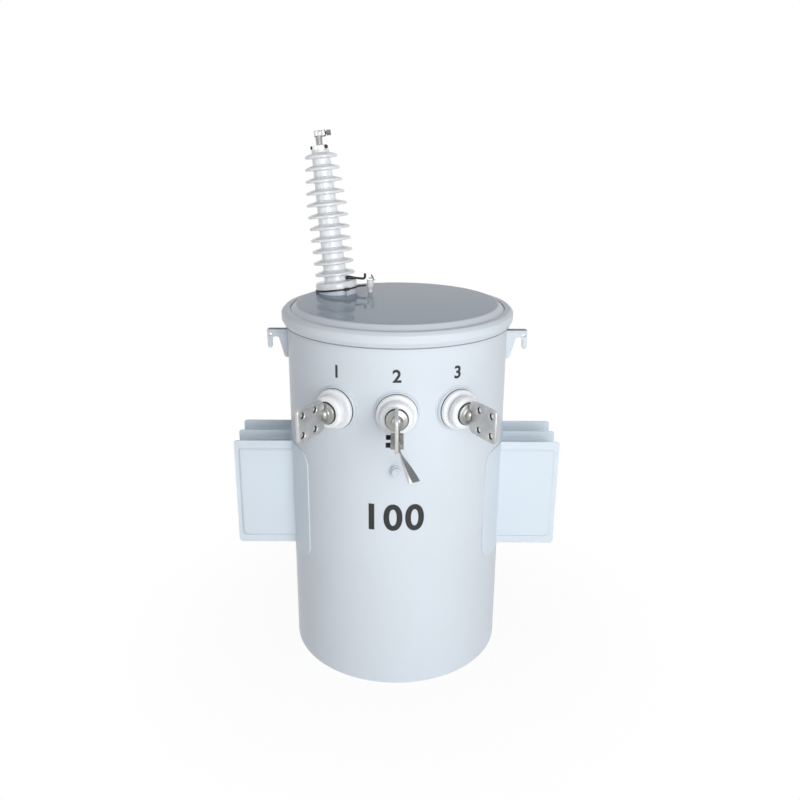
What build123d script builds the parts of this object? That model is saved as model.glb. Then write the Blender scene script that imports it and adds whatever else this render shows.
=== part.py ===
"""Pole-type distribution transformer: round tank, clamped cover, fin radiators and bushings.

Millimetres.  +Z is up, the front of the tank (the low-voltage side) faces -Y, and the origin
is the centre of the tank's bottom face.  Azimuths are degrees from the front, positive
towards +X.
"""
from build123d import *
from math import atan2, cos, degrees, radians, sin, sqrt
import os

os.makedirs("parts", exist_ok=True)

# ---------------------------------------------------------------- driving dimensions
seat_gap = 0.2                # clearance where curved faces seat on each other

# tank
tank_radius = 270.0
tank_height = 890.0           # bottom face to the top of the rolled rim
tank_wall_thickness = 3.0
bottom_plate_thickness = 6.0
rim_width = 5.0               # how far the rolled rim stands out from the wall
rim_depth = 16.0
rim_bevel = 2.5

# cover, its gasket and the clamp band
gasket_thickness = 8.0
gasket_width = 12.0
lid_thickness = 3.0
lid_rise = 14.0               # plateau above the lid's flange
lid_shoulder = 16.0           # run of the rolled shoulder, from flange to plateau
lid_shoulder_round = 11.0
lid_inset = 1.0               # lid's edge inside the rim's
band_thickness = 2.5
band_bulge = 5.5              # how far the band's face is bellied out
band_shoulder = 8.0           # height of the bevels above and below the band's flat face
band_lip = 13.0               # how far the band's flanges reach in over rim and lid
band_split = 26.0             # opening of the band at the back
band_lug_length = 30.0
band_lug_thickness = 6.0
band_lug_margin = 3.0         # lugs' ends short of the band's top and bottom
band_bolt_diameter = 10.0
band_bolt_clearance = 0.5     # hole's radius over the bolt's
band_bolt_corners = 19.6      # across the corners of head and nut
band_bolt_head = 7.0
band_bolt_nut = 9.0
band_bolt_end = 7.0           # thread beyond the nut

# lifting lugs
lug_drop = 47.0               # arm's top below the rim's
lug_reach = 53.0              # from the wall to the outer end
lug_thickness = 9.0
lug_arm_depth = 19.0
lug_tooth_width = 12.0
lug_tooth_drop = 48.0
lug_root_height = 72.0
lug_gusset_top = 25.0         # gusset's width under the arm and at its foot
lug_gusset_foot = 11.0
lug_inner_round = 7.0
lug_outer_round = 2.0
lug_hole_diameter = 8.0
lug_hole_inset = 8.0          # hole's centre from the arm's outer end
lug_hole_drop = 13.5          # hole's centre below the arm's top
lug_lip_width = 26.0
lug_lip_thickness = 4.0

# fin radiators
fin_count = 3
fin_pitch = 75.0
fin_reach = 138.0             # from the tank's widest point to the fins' outer edge
fin_bottom = 292.0
fin_height = 282.0
fin_thickness = 13.0
fin_seam_width = 9.0          # flat welded seam down the outer edge
fin_end_seam = 18.5           # flat seams across the top and the bottom
fin_seam_thickness = 3.0
fin_corner_radius = 6.0
fin_press_bevel = 4.4         # sloped border of the pressed panel
sheet_thickness = 2.5
sheet_half_angle = 38.0       # of the curved base sheet, to each side of the radiator's middle
sheet_margin = 3.0            # base sheet above and below the fins
sheet_corner_radius = 35.0

# high-voltage bushing
hv_x = -155.0
hv_y = 107.0
hv_tilt = 7.5                 # lean away from the tank's axis
hv_neck_diameter = 96.0
hv_neck_height = 6.5          # above the plateau, along the bushing's own axis
hv_gasket_thickness = 2.0
hv_gasket_width = 13.0
hv_ring_diameter = 110.0
hv_ring_thickness = 3.0
hv_ear_angle = 60.0           # of the clamp ring's two bolt ears, to each side of its arm
hv_ear_radius = 8.0
hv_ear_hole_diameter = 7.0
hv_arm_width = 12.0           # the clamp ring's arm, which reaches to the arcing gap's post
hv_base_diameter = 106.0
hv_base_height = 20.0
hv_base_bevel = 7.0
shed_count = 11
shed_pitch = 28.8
shed_first = 41.0             # lowest shed above the insulator's base face
shed_diameter = 102.0
shed_diameter_top = 81.0
shed_taper_count = 4          # how many sheds at the top grow smaller
shed_tip = 5.0                # half the thickness of a shed's blunt edge
shed_rise = 8.0               # top of a shed's upper slope above the middle of its edge
shed_droop = 1.5              # height of a shed's under side
core_diameter_bottom = 61.0
core_diameter_top = 44.0
insulator_head = 6.0          # core above the topmost shed
hv_cap_diameter = 41.0
hv_cap_height = 12.0
hv_cap_bevel = 3.0
hv_stud_diameter = 18.0
hv_stud_length = 19.5

# clamp terminal on the high-voltage stud
terminal_bore = 10.0
terminal_width = 29.0
terminal_depth = 18.0
terminal_height = 15.5
terminal_offset = 3.5         # block's middle to the right of the bushing's axis
terminal_round = 3.0
terminal_screw_diameter = 8.0
terminal_screw_neck = 4.0     # shank that shows between block and head
terminal_screw_flats = 13.0
terminal_screw_head = 9.0

# arcing gap beside the high-voltage bushing
gap_distance = 85.0           # of the post from the bushing's axis, along +X
gap_post_diameter = 18.0
gap_post_height = 32.0
gap_post_round = 4.0          # rounded foot
gap_clip_length = 20.0
gap_clip_width = 12.0
gap_clip_thickness = 2.5
gap_clip_wing = 13.0          # height of the clip's upturned wing
gap_clip_lean = 7.0           # of the wing, back over the clip
gap_screw_diameter = 9.0
gap_screw_head = 4.0
gap_rod_diameter = 5.0
gap_strap_thickness = 2.5
gap_strap_width = 8.0
gap_strap_turn = 30.0         # how far the half strap is turned forward on its right side
gap_strap_rise = 2.0          # strap above the insulator's base
gap_root_diameter = 8.0       # thick root of the horn, which tapers to the rod
gap_root_length = 16.0
gap_air = 2.0                 # between the horn and the post
gap_rod_dip = 4.0             # horn's fall from the strap to its bend
gap_horn_rise = 14.0          # the horn's upturned end
gap_horn_bend = 6.0

# low-voltage bushings
lv_drop = 172.0               # their axes below the rim's top
lv_azimuths = (-30.0, 0.0, 30.0)
lv_boss_diameter = 108.0
lv_boss_height = 13.0
lv_boss_taper = 6.0
lv_flange_diameter = 93.0
lv_flange_thickness = 16.0
lv_body_diameter = 76.0
lv_body_thickness = 16.0
lv_groove_diameter = 64.0
lv_groove_width = 3.0
lv_edge = 5.0                 # bevel round the outer rims
lv_hub_diameter = 49.0
lv_hub_length = 22.0
lv_hub_bevel = 4.0

# four-hole terminal pads on the low-voltage bushings
pad_height = 76.0
pad_length = 96.0
pad_thickness = 8.0
pad_hole_spacing = 44.45
pad_hole_diameter = 14.3
pad_hole_centre = 57.0        # hole pattern's centre from the pad's inner end
pad_inset = 8.0               # pad's inner end from the insulator's outer face
pad_corner_radius = 9.0

# earthing
ground_drop = 138.0           # earth boss below the low-voltage bushings' axes
ground_pad_diameter = 33.0
ground_pad_length = 10.0
ground_pad_bevel = 1.5
ground_washer_diameter = 23.6
ground_washer_thickness = 2.0
ground_bolt_flats = 19.0
ground_bolt_head = 8.0
strap_width = 25.0
strap_thickness = 2.5
strap_clear = 3.0             # straight run below the pad before the strap twists
strap_drop = 78.0             # twisting tail, from there to the loose end
strap_swing = 33.0            # sideways, over that drop
strap_reach = 6.0             # outward, over that drop
strap_bend_power = 1.6        # how late in the drop the tail swings out
strap_bolt_diameter = 12.0
strap_bolt_clearance = 1.0    # hole's radius over the bolt's
strap_bolt_flats = 19.0
strap_bolt_head = 8.0
strap_bolt_nut = 9.0
strap_bolt_end = 6.0          # thread beyond the nut

# pole brackets at the back
bracket_drop = 84.45          # upper bracket's middle below the rim's top
bracket_spacing = 590.55      # between the two brackets' slots
bracket_projection = 58.0
bracket_width = 130.0
bracket_plate_height = 76.0
bracket_thickness = 8.0
bracket_slot_width = 20.0
bracket_slot_length = 46.0

# core and winding inside the tank
core_leg = 55.0               # build-up of the wound strip
core_depth = 165.0
core_window_width = 80.0
core_window_height = 250.0
core_outer_round = 25.0
core_inner_round = 5.0
core_split = 1.0              # between the two loops
core_foot_height = 40.0
core_foot_width = 50.0
core_foot_length = 260.0
core_foot_thickness = 5.0
winding_gap = 0.5             # winding to the core's legs
winding_height = 240.0
winding_round = 60.0

# ---------------------------------------------------------------- derived levels and planes
rim_radius = tank_radius + rim_width
flange_bottom = tank_height + gasket_thickness
flange_top = flange_bottom + lid_thickness
plateau_top = flange_top + lid_rise
lid_edge = rim_radius - lid_inset
shoulder_foot = rim_radius - band_lip - lid_inset
plateau_radius = shoulder_foot - lid_shoulder
band_inner_radius = rim_radius + seat_gap
band_outer_radius = band_inner_radius + band_thickness + band_bulge
band_bottom = tank_height - rim_depth - seat_gap - band_thickness
band_top = flange_top + seat_gap + band_thickness
band_middle = (band_bottom + band_top) / 2
lug_top = tank_height - lug_drop
lv_height = tank_height - lv_drop
ground_height = lv_height - ground_drop
upper_bracket = tank_height - bracket_drop
lower_bracket = upper_bracket - bracket_spacing


def outward(azimuth):
    """Unit vector pointing straight out of the tank at an azimuth."""
    return Vector(sin(radians(azimuth)), -cos(radians(azimuth)), 0)


def radial_plane(azimuth, height):
    """Upright plane through the tank's axis: its x runs outward, its y runs up."""
    out = outward(azimuth)
    return Plane(origin=(0, 0, height), x_dir=out, z_dir=out.cross(Vector(0, 0, 1)))


def bore_plane(azimuth, height, distance):
    """Plane across a radial axis, at a distance from the tank's axis, facing outward."""
    out = outward(azimuth)
    return Plane(origin=out * distance + Vector(0, 0, height), x_dir=(0, 0, 1), z_dir=out)


def write(name, builder):
    """Label a finished piece and write it to its own file."""
    builder.part.label = name
    export_step(builder.part, f"parts/{name}.step")


# ---------------------------------------------------------------- tank
with BuildPart() as tank_wall:
    with BuildSketch(Plane.XY):
        Circle(tank_radius)
        Circle(tank_radius - tank_wall_thickness, mode=Mode.SUBTRACT)
    extrude(amount=tank_height - rim_depth)
write("tank_wall", tank_wall)

with BuildPart() as tank_bottom:
    with BuildSketch(Plane.XY):
        Circle(tank_radius - tank_wall_thickness - seat_gap)
    extrude(amount=bottom_plate_thickness)
write("tank_bottom", tank_bottom)

with BuildPart() as tank_rim:
    with BuildSketch(Plane.XY.offset(tank_height - rim_depth)):
        Circle(rim_radius)
        Circle(tank_radius - tank_wall_thickness, mode=Mode.SUBTRACT)
    extrude(amount=rim_depth)
    chamfer(tank_rim.edges().filter_by(GeomType.CIRCLE).group_by(SortBy.RADIUS)[-1], rim_bevel)
write("tank_rim", tank_rim)

# ---------------------------------------------------------------- cover and clamp band
with BuildPart() as lid_gasket:
    with BuildSketch(Plane.XY.offset(tank_height)):
        Circle(lid_edge)
        Circle(lid_edge - gasket_width, mode=Mode.SUBTRACT)
    extrude(amount=gasket_thickness)
write("lid_gasket", lid_gasket)

with BuildPart() as lid:
    with BuildSketch(Plane.XZ):
        with BuildLine():
            Polyline(
                (0, plateau_top - lid_thickness),
                (0, plateau_top),
                (plateau_radius, plateau_top),
                (shoulder_foot, flange_top),
                (lid_edge, flange_top),
                (lid_edge, flange_bottom),
                (shoulder_foot - lid_thickness, flange_bottom),
                (plateau_radius - lid_thickness, plateau_top - lid_thickness),
                close=True,
            )
        make_face()
        rolled = vertices().filter_by(lambda v: v.Y > plateau_top - 0.1 and v.X > plateau_radius - 0.1)
        fillet(rolled, lid_shoulder_round)
    revolve(axis=Axis.Z)
write("lid", lid)

with BuildPart() as cover_band:
    with BuildSketch(Plane.XZ):
        with BuildLine():
            inner = band_inner_radius
            outer = band_outer_radius
            foot = tank_radius + seat_gap
            low = band_bottom + band_thickness
            high = band_top - band_thickness
            Polyline(
                (foot, band_bottom),
                (inner, band_bottom),
                (outer, band_bottom + band_shoulder),
                (outer, band_top - band_shoulder),
                (inner, band_top),
                (inner - band_lip, band_top),
                (inner - band_lip, high),
                (inner, high),
                (outer - band_thickness, high - band_shoulder),
                (outer - band_thickness, low + band_shoulder),
                (inner, low),
                (foot, low),
                close=True,
            )
        make_face()
    revolve(axis=Axis.Z)
    # the split at the back, and the two closing lugs beside it
    with BuildSketch(Plane.XY.offset(band_bottom)):
        with Locations((0, rim_radius)):
            Rectangle(band_split, 4 * band_lip)
    extrude(amount=band_top - band_bottom, mode=Mode.SUBTRACT)
    lug_foot = outer - band_thickness - 2 * seat_gap
    with BuildSketch(Plane.XY.offset(band_bottom + band_lug_margin)):
        for side in (-1, 1):
            with Locations((side * (band_split + band_lug_thickness) / 2, lug_foot + band_lug_length / 2)):
                Rectangle(band_lug_thickness, band_lug_length)
    extrude(amount=band_top - band_bottom - 2 * band_lug_margin)
    lug_hole_y = lug_foot + band_lug_length * 0.6
    with BuildSketch(Plane.YZ):
        with Locations((lug_hole_y, band_middle)):
            Circle(band_bolt_diameter / 2 + band_bolt_clearance)
    extrude(amount=band_split, both=True, mode=Mode.SUBTRACT)
write("cover_band", cover_band)

with BuildPart() as band_bolt:
    lug_face = band_split / 2 + band_lug_thickness
    bolt_plane = Plane(origin=(-lug_face, lug_hole_y, band_middle), x_dir=(0, 1, 0), z_dir=(1, 0, 0))
    with BuildSketch(bolt_plane):
        Circle(band_bolt_diameter / 2)
    extrude(amount=2 * lug_face + band_bolt_nut + band_bolt_end)
    with BuildSketch(bolt_plane):
        RegularPolygon(band_bolt_corners / 2, 6)
    extrude(amount=-band_bolt_head)
    with BuildSketch(bolt_plane.offset(2 * lug_face)):
        RegularPolygon(band_bolt_corners / 2, 6)
    extrude(amount=band_bolt_nut)
write("band_bolt", band_bolt)

# ---------------------------------------------------------------- lifting lugs
lug_end = tank_radius + lug_reach
lug_root = tank_radius - tank_wall_thickness
tooth_inner = lug_end - lug_tooth_width
for side, name in ((-1, "lifting_lug_left"), (1, "lifting_lug_right")):
    with BuildPart() as lifting_lug:
        with BuildSketch(radial_plane(90.0 * side, lug_top)):
            with BuildLine():
                Polyline(
                    (lug_root, 0),
                    (lug_end, 0),
                    (lug_end, -lug_tooth_drop),
                    (tooth_inner, -lug_tooth_drop),
                    (tooth_inner, -lug_arm_depth),
                    (tank_radius + lug_gusset_top, -lug_arm_depth),
                    (tank_radius + lug_gusset_foot, -lug_root_height),
                    (lug_root, -lug_root_height),
                    close=True,
                )
            make_face()
            tooth_corners = vertices().filter_by(lambda v: abs(v.Y + lug_tooth_drop) < 0.1)
            fillet(tooth_corners, lug_tooth_width / 2 - seat_gap)
            arm_corners = vertices().filter_by(lambda v: abs(v.Y + lug_arm_depth) < 0.1)
            fillet(arm_corners, lug_inner_round)
            gusset_corner = vertices().filter_by(lambda v: v.Y < 0.1 - lug_root_height and v.X > tank_radius)
            fillet(gusset_corner, lug_inner_round)
            end_corner = vertices().filter_by(lambda v: v.Y > -0.1 and v.X > lug_end - 0.1)
            fillet(end_corner, lug_outer_round)
            with Locations((lug_end - lug_hole_inset, -lug_hole_drop)):
                Circle(lug_hole_diameter / 2, mode=Mode.SUBTRACT)
        extrude(amount=lug_thickness / 2, both=True)
        # flat top lip, wider than the arm
        with BuildSketch(Plane.XY.offset(lug_top - lug_lip_thickness)):
            lip_length = lug_end - lug_outer_round - lug_root
            with Locations((side * (lug_root + lip_length / 2), 0)):
                RectangleRounded(lip_length, lug_lip_width, lug_outer_round)
        extrude(amount=lug_lip_thickness)
        with BuildSketch(Plane.XY.offset(lug_top - lug_root_height)):
            Circle(tank_radius + seat_gap)
        extrude(amount=lug_root_height, mode=Mode.SUBTRACT)
    write(name, lifting_lug)

# ---------------------------------------------------------------- fin radiators
fin_outer = tank_radius + fin_reach
sheet_outer = tank_radius + seat_gap + sheet_thickness
sheet_height = fin_height + 2 * sheet_margin
radiator_middle = fin_bottom + fin_height / 2
for side, name in ((-1, "left"), (1, "right")):
    with BuildPart() as radiator_sheet:
        with BuildSketch(Plane.XY.offset(fin_bottom - 2 * sheet_margin)):
            Circle(sheet_outer)
            Circle(tank_radius + seat_gap, mode=Mode.SUBTRACT)
        extrude(amount=fin_height + 4 * sheet_margin)
        # keep the part of the ring that lies on this side, with rounded corners
        half_width = sheet_outer * sin(radians(sheet_half_angle))
        with BuildSketch(Plane.YZ):
            with Locations((0, radiator_middle)):
                RectangleRounded(2 * half_width, sheet_height, sheet_corner_radius)
        extrude(amount=side * fin_outer, mode=Mode.INTERSECT)
    write(f"radiator_sheet_{name}", radiator_sheet)

    for number in range(fin_count):
        fin_y = (number - (fin_count - 1) / 2) * fin_pitch
        fin_plane = Plane(origin=(0, fin_y, 0), x_dir=(side, 0, 0), z_dir=(0, -side, 0))
        with BuildPart() as radiator_fin:
            root = sqrt(sheet_outer**2 - (abs(fin_y) + fin_thickness / 2) ** 2) - fin_press_bevel
            length = fin_outer - root
            with BuildSketch(fin_plane):
                with Locations((root + length / 2, radiator_middle)):
                    RectangleRounded(length, fin_height, fin_corner_radius)
            extrude(amount=fin_seam_thickness / 2, both=True)
            with BuildSketch(fin_plane):
                with Locations((root + (length - fin_seam_width) / 2, radiator_middle)):
                    Rectangle(length - fin_seam_width, fin_height - 2 * fin_end_seam)
            extrude(amount=fin_thickness / 2, both=True)
            pressed = radiator_fin.faces().filter_by(Axis.Y).group_by(SortBy.AREA)[-1]
            chamfer(pressed.edges(), fin_press_bevel)
            with BuildSketch(Plane.XY.offset(fin_bottom)):
                Circle(sheet_outer + seat_gap)
            extrude(amount=fin_height, mode=Mode.SUBTRACT)
        write(f"radiator_fin_{name}_{number + 1}", radiator_fin)

# ---------------------------------------------------------------- high-voltage bushing
lean = Vector(hv_x, hv_y, 0).normalized()
hv_axis = lean * sin(radians(hv_tilt)) + Vector(0, 0, cos(radians(hv_tilt)))
hv_foot = Vector(hv_x, hv_y, plateau_top)
hv_back = hv_axis.cross(Vector(1, 0, 0)).normalized()     # square to the axis, rearward
hv_right = hv_back.cross(hv_axis)                          # square to the axis, to the right
hv_spin = Axis(hv_foot, hv_axis)


def hv_level(distance):
    """Plane across the bushing's axis at a distance above the plateau, x to the right."""
    return Plane(origin=hv_foot + hv_axis * distance, x_dir=hv_right, z_dir=hv_axis)


with BuildPart() as hv_neck:
    neck_embed = hv_neck_diameter / 2 * sin(radians(hv_tilt)) + hv_neck_height
    with BuildSketch(hv_level(-neck_embed)):
        Circle(hv_neck_diameter / 2)
    extrude(amount=neck_embed + hv_neck_height)
    with BuildSketch(Plane.XY.offset(plateau_top)):
        Circle(tank_radius)
    extrude(amount=-2 * neck_embed, mode=Mode.SUBTRACT)
write("hv_neck", hv_neck)

ring_bottom = hv_neck_height + hv_gasket_thickness
with BuildPart() as hv_gasket:
    with BuildSketch(hv_level(hv_neck_height)):
        Circle(hv_neck_diameter / 2 - lid_inset)
        Circle(hv_neck_diameter / 2 - lid_inset - hv_gasket_width, mode=Mode.SUBTRACT)
    extrude(amount=hv_gasket_thickness)
write("hv_gasket", hv_gasket)

post_x = hv_x + gap_distance
with BuildPart() as hv_clamp_ring:
    ear_distance = hv_ring_diameter / 2 + hv_ear_hole_diameter / 2
    arm_length = gap_distance - gap_post_diameter / 4
    with BuildSketch(hv_level(ring_bottom)):
        Circle(hv_ring_diameter / 2)
        with PolarLocations(ear_distance, 2, start_angle=-hv_ear_angle, angular_range=4 * hv_ear_angle):
            Circle(hv_ear_radius)
        with Locations((arm_length / 2, 0)):
            Rectangle(arm_length, hv_arm_width)
        Circle(hv_base_diameter / 2 + seat_gap, mode=Mode.SUBTRACT)
        with PolarLocations(ear_distance, 2, start_angle=-hv_ear_angle, angular_range=4 * hv_ear_angle):
            Circle(hv_ear_hole_diameter / 2, mode=Mode.SUBTRACT)
    extrude(amount=hv_ring_thickness)
    # the arm's end is hollowed to fit the post
    with BuildSketch(Plane.XY.offset(plateau_top)):
        with Locations((post_x, hv_y)):
            Circle(gap_post_diameter / 2 + seat_gap)
    extrude(amount=gap_post_height, mode=Mode.SUBTRACT)
write("hv_clamp_ring", hv_clamp_ring)

# insulator: base, core and sheds as one turned profile
shed_levels = [ring_bottom + shed_first + k * shed_pitch for k in range(shed_count)]
insulator_top = shed_levels[-1] + shed_rise + insulator_head
base_top = ring_bottom + hv_base_height


def core_radius(level):
    """Radius of the tapering core at a level along the axis."""
    share = (level - ring_bottom) / (insulator_top - ring_bottom)
    return (core_diameter_bottom + (core_diameter_top - core_diameter_bottom) * share) / 2


def shed_radius(number):
    """Radius of a shed; the topmost ones grow smaller towards the cap."""
    step = max(0, number - (shed_count - 1 - shed_taper_count)) / shed_taper_count
    return (shed_diameter + (shed_diameter_top - shed_diameter) * step) / 2


with BuildPart() as hv_bushing:
    with BuildSketch(Plane(origin=hv_foot, x_dir=hv_right, z_dir=hv_right.cross(hv_axis))):
        with BuildLine():
            base_radius = hv_base_diameter / 2
            point = (core_radius(base_top), base_top)
            Polyline(
                (0, ring_bottom),
                (base_radius, ring_bottom),
                (base_radius, base_top - hv_base_bevel),
                (base_radius - hv_base_bevel, base_top),
                point,
            )
            for number, level in enumerate(shed_levels):
                tip = shed_radius(number)
                under_root = level - shed_tip - shed_droop
                slope_top = (core_radius(level + shed_rise), level + shed_rise)
                Polyline(
                    point,
                    (core_radius(under_root), under_root),
                    (tip - shed_tip, level - shed_tip),
                    (tip, level - shed_tip / 2),
                    (tip, level + shed_tip / 2),
                    (tip - shed_tip, level + shed_tip),
                    slope_top,
                )
                point = slope_top
            Polyline(point, (core_radius(insulator_top), insulator_top), (0, insulator_top), (0, ring_bottom))
        make_face()
    revolve(axis=hv_spin)
write("hv_bushing", hv_bushing)

with BuildPart() as hv_cap:
    with BuildSketch(hv_level(insulator_top)):
        Circle(hv_cap_diameter / 2)
    extrude(amount=hv_cap_height)
    chamfer(hv_cap.edges().filter_by(GeomType.CIRCLE).sort_by(hv_spin)[-1], hv_cap_bevel)
write("hv_cap", hv_cap)

cap_top = insulator_top + hv_cap_height
with BuildPart() as hv_stud:
    with BuildSketch(hv_level(cap_top)):
        Circle(hv_stud_diameter / 2)
    extrude(amount=hv_stud_length)
write("hv_stud", hv_stud)

# clamp terminal: a block with a level bore from front to back and a clamp screw from the right
stud_top = cap_top + hv_stud_length
terminal_middle = hv_foot + hv_axis * (stud_top + terminal_height / 2) + hv_right * terminal_offset
with BuildPart() as hv_terminal:
    with BuildSketch(Plane(origin=terminal_middle, x_dir=hv_right, z_dir=-hv_back)):
        RectangleRounded(terminal_width, terminal_height, terminal_round)
        Circle(terminal_bore / 2, mode=Mode.SUBTRACT)
    extrude(amount=terminal_depth / 2, both=True)
write("hv_terminal", hv_terminal)

with BuildPart() as hv_terminal_screw:
    screw_foot = terminal_middle + hv_right * (terminal_width / 2)
    screw_plane = Plane(origin=screw_foot, x_dir=hv_axis, z_dir=hv_right)
    with BuildSketch(screw_plane):
        Circle(terminal_screw_diameter / 2)
    extrude(amount=terminal_screw_neck)
    with BuildSketch(screw_plane.offset(terminal_screw_neck)):
        RegularPolygon(terminal_screw_flats / 2, 6, major_radius=False)
    extrude(amount=terminal_screw_head)
write("hv_terminal_screw", hv_terminal_screw)

# ---------------------------------------------------------------- arcing gap
gap_post_top = plateau_top + gap_post_height
with BuildPart() as gap_post:
    with BuildSketch(Plane.XY.offset(plateau_top)):
        with Locations((post_x, hv_y)):
            Circle(gap_post_diameter / 2)
    extrude(amount=gap_post_height)
    chamfer(gap_post.edges().filter_by(GeomType.CIRCLE).sort_by(Axis.Z)[0], gap_post_round)
write("gap_post", gap_post)

# electrode clip: flat foot on the post, wing bent up and back on the far side, and its screw's head
with BuildPart() as gap_electrode:
    clip_left = post_x - gap_post_diameter / 2
    clip_right = clip_left + gap_clip_length
    with BuildSketch(Plane(origin=(0, hv_y, gap_post_top), x_dir=(1, 0, 0), z_dir=(0, -1, 0))):
        with BuildLine():
            Polyline(
                (clip_left, 0),
                (clip_right, 0),
                (clip_right - gap_clip_lean, gap_clip_wing),
                (clip_right - gap_clip_lean - gap_clip_thickness, gap_clip_wing),
                (clip_right - 1.5 * gap_clip_thickness, gap_clip_thickness),
                (clip_left, gap_clip_thickness),
                close=True,
            )
        make_face()
    extrude(amount=gap_clip_width / 2, both=True)
    with BuildSketch(Plane.XY.offset(gap_post_top + gap_clip_thickness)):
        with Locations((post_x, hv_y)):
            RegularPolygon(gap_screw_diameter / 2, 6)
    extrude(amount=gap_screw_head)
write("gap_electrode", gap_electrode)

# horn: half strap round the back of the insulator's neck, with a rod to the right that turns up
# beside the post
strap_bottom = base_top + gap_strap_rise
strap_radius = core_radius(strap_bottom) + seat_gap
with BuildPart() as gap_rod:
    with BuildSketch(hv_level(strap_bottom)):
        Circle(strap_radius + gap_strap_thickness)
        Circle(strap_radius, mode=Mode.SUBTRACT)
        with Locations(Rot(0, 0, -gap_strap_turn)):
            Rectangle(
                3 * strap_radius,
                2 * strap_radius,
                align=(Align.CENTER, Align.MAX),
                mode=Mode.SUBTRACT,
            )
    extrude(amount=gap_strap_width)
    rod_start = (
        hv_foot
        + hv_axis * (strap_bottom + gap_strap_width / 2)
        + hv_right * (strap_radius + gap_strap_thickness * 0.7)
    )
    bend_x = post_x - gap_post_diameter / 2 - gap_air - gap_rod_diameter / 2
    bend = Vector(bend_x, rod_start.Y, rod_start.Z - gap_rod_dip)
    with BuildLine() as rod_path:
        FilletPolyline(rod_start, bend, bend + Vector(0, 0, gap_horn_rise), radius=gap_horn_bend)
    with BuildSketch(Plane(origin=rod_start, z_dir=bend - rod_start)):
        Circle(gap_rod_diameter / 2)
    sweep(path=rod_path.line)
    with BuildSketch(Plane(origin=rod_start, z_dir=bend - rod_start)):
        Circle(gap_root_diameter / 2)
    root_taper = degrees(atan2((gap_root_diameter - gap_rod_diameter) / 2, gap_root_length))
    extrude(amount=gap_root_length, taper=root_taper)
write("gap_rod", gap_rod)

# ---------------------------------------------------------------- low-voltage bushings
lv_flange_foot = tank_radius + lv_boss_height
lv_groove_foot = lv_flange_foot + lv_flange_thickness
lv_body_foot = lv_groove_foot + lv_groove_width
lv_hub_foot = lv_body_foot + lv_body_thickness
pad_inner = lv_hub_foot + pad_inset
for number, azimuth in enumerate(lv_azimuths, start=1):
    across = radial_plane(azimuth, lv_height)
    spin = Axis((0, 0, lv_height), outward(azimuth))

    with BuildPart() as lv_boss:
        with BuildSketch(bore_plane(azimuth, lv_height, tank_radius - 2 * lv_boss_height)):
            Circle(lv_boss_diameter / 2)
        extrude(amount=3 * lv_boss_height, taper=lv_boss_taper)
        with BuildSketch(Plane.XY.offset(lv_height - lv_boss_diameter)):
            Circle(tank_radius + seat_gap)
        extrude(amount=2 * lv_boss_diameter, mode=Mode.SUBTRACT)
    write(f"lv_boss_{number}", lv_boss)

    with BuildPart() as lv_bushing:
        with BuildSketch(across):
            with BuildLine():
                flange = lv_flange_diameter / 2
                body = lv_body_diameter / 2
                groove = lv_groove_diameter / 2
                Polyline(
                    (lv_flange_foot, 0),
                    (lv_flange_foot, flange - lv_edge / 2),
                    (lv_flange_foot + lv_edge / 2, flange),
                    (lv_groove_foot - lv_edge, flange),
                    (lv_groove_foot, flange - lv_edge),
                    (lv_groove_foot, groove),
                    (lv_body_foot, groove),
                    (lv_body_foot, body - lv_edge / 2),
                    (lv_body_foot + lv_edge / 2, body),
                    (lv_hub_foot - lv_edge, body),
                    (lv_hub_foot, body - lv_edge),
                    (lv_hub_foot, 0),
                    close=True,
                )
            make_face()
        revolve(axis=spin)
    write(f"lv_bushing_{number}", lv_bushing)

    with BuildPart() as lv_hub:
        with BuildSketch(bore_plane(azimuth, lv_height, lv_hub_foot)):
            Circle(lv_hub_diameter / 2)
        extrude(amount=lv_hub_length)
        outer_rim = lv_hub.edges().filter_by(GeomType.CIRCLE).sort_by(spin)[-1]
        chamfer(outer_rim, lv_hub_bevel)
    write(f"lv_hub_{number}", lv_hub)

    with BuildPart() as lv_pad:
        with BuildSketch(across):
            with Locations((pad_inner + pad_length / 2, 0)):
                Rectangle(pad_length, pad_height)
            fillet(vertices().group_by(Axis.X)[-1], pad_corner_radius)
            with Locations((pad_inner + pad_hole_centre, 0)):
                with GridLocations(pad_hole_spacing, pad_hole_spacing, 2, 2):
                    Circle(pad_hole_diameter / 2, mode=Mode.SUBTRACT)
        extrude(amount=pad_thickness / 2, both=True)
        with BuildSketch(bore_plane(azimuth, lv_height, lv_hub_foot)):
            Circle(lv_hub_diameter / 2 + seat_gap)
        extrude(amount=lv_hub_length + seat_gap, mode=Mode.SUBTRACT)
    write(f"lv_pad_{number}", lv_pad)

# ---------------------------------------------------------------- earthing
with BuildPart() as ground_pad:
    with BuildSketch(bore_plane(0, ground_height, tank_radius - ground_pad_length)):
        Circle(ground_pad_diameter / 2)
    extrude(amount=2 * ground_pad_length)
    chamfer(ground_pad.edges().filter_by(GeomType.CIRCLE).sort_by(Axis.Y)[0], ground_pad_bevel)
    with BuildSketch(Plane.XY.offset(ground_height - ground_pad_diameter)):
        Circle(tank_radius + seat_gap)
    extrude(amount=2 * ground_pad_diameter, mode=Mode.SUBTRACT)
write("ground_pad", ground_pad)

with BuildPart() as ground_bolt:
    ground_face = tank_radius + ground_pad_length
    with BuildSketch(bore_plane(0, ground_height, ground_face)):
        Circle(ground_washer_diameter / 2)
    extrude(amount=ground_washer_thickness)
    with BuildSketch(bore_plane(0, ground_height, ground_face + ground_washer_thickness)):
        RegularPolygon(ground_bolt_flats / 2, 6, major_radius=False)
    extrude(amount=ground_bolt_head)
write("ground_bolt", ground_bolt)

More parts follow.
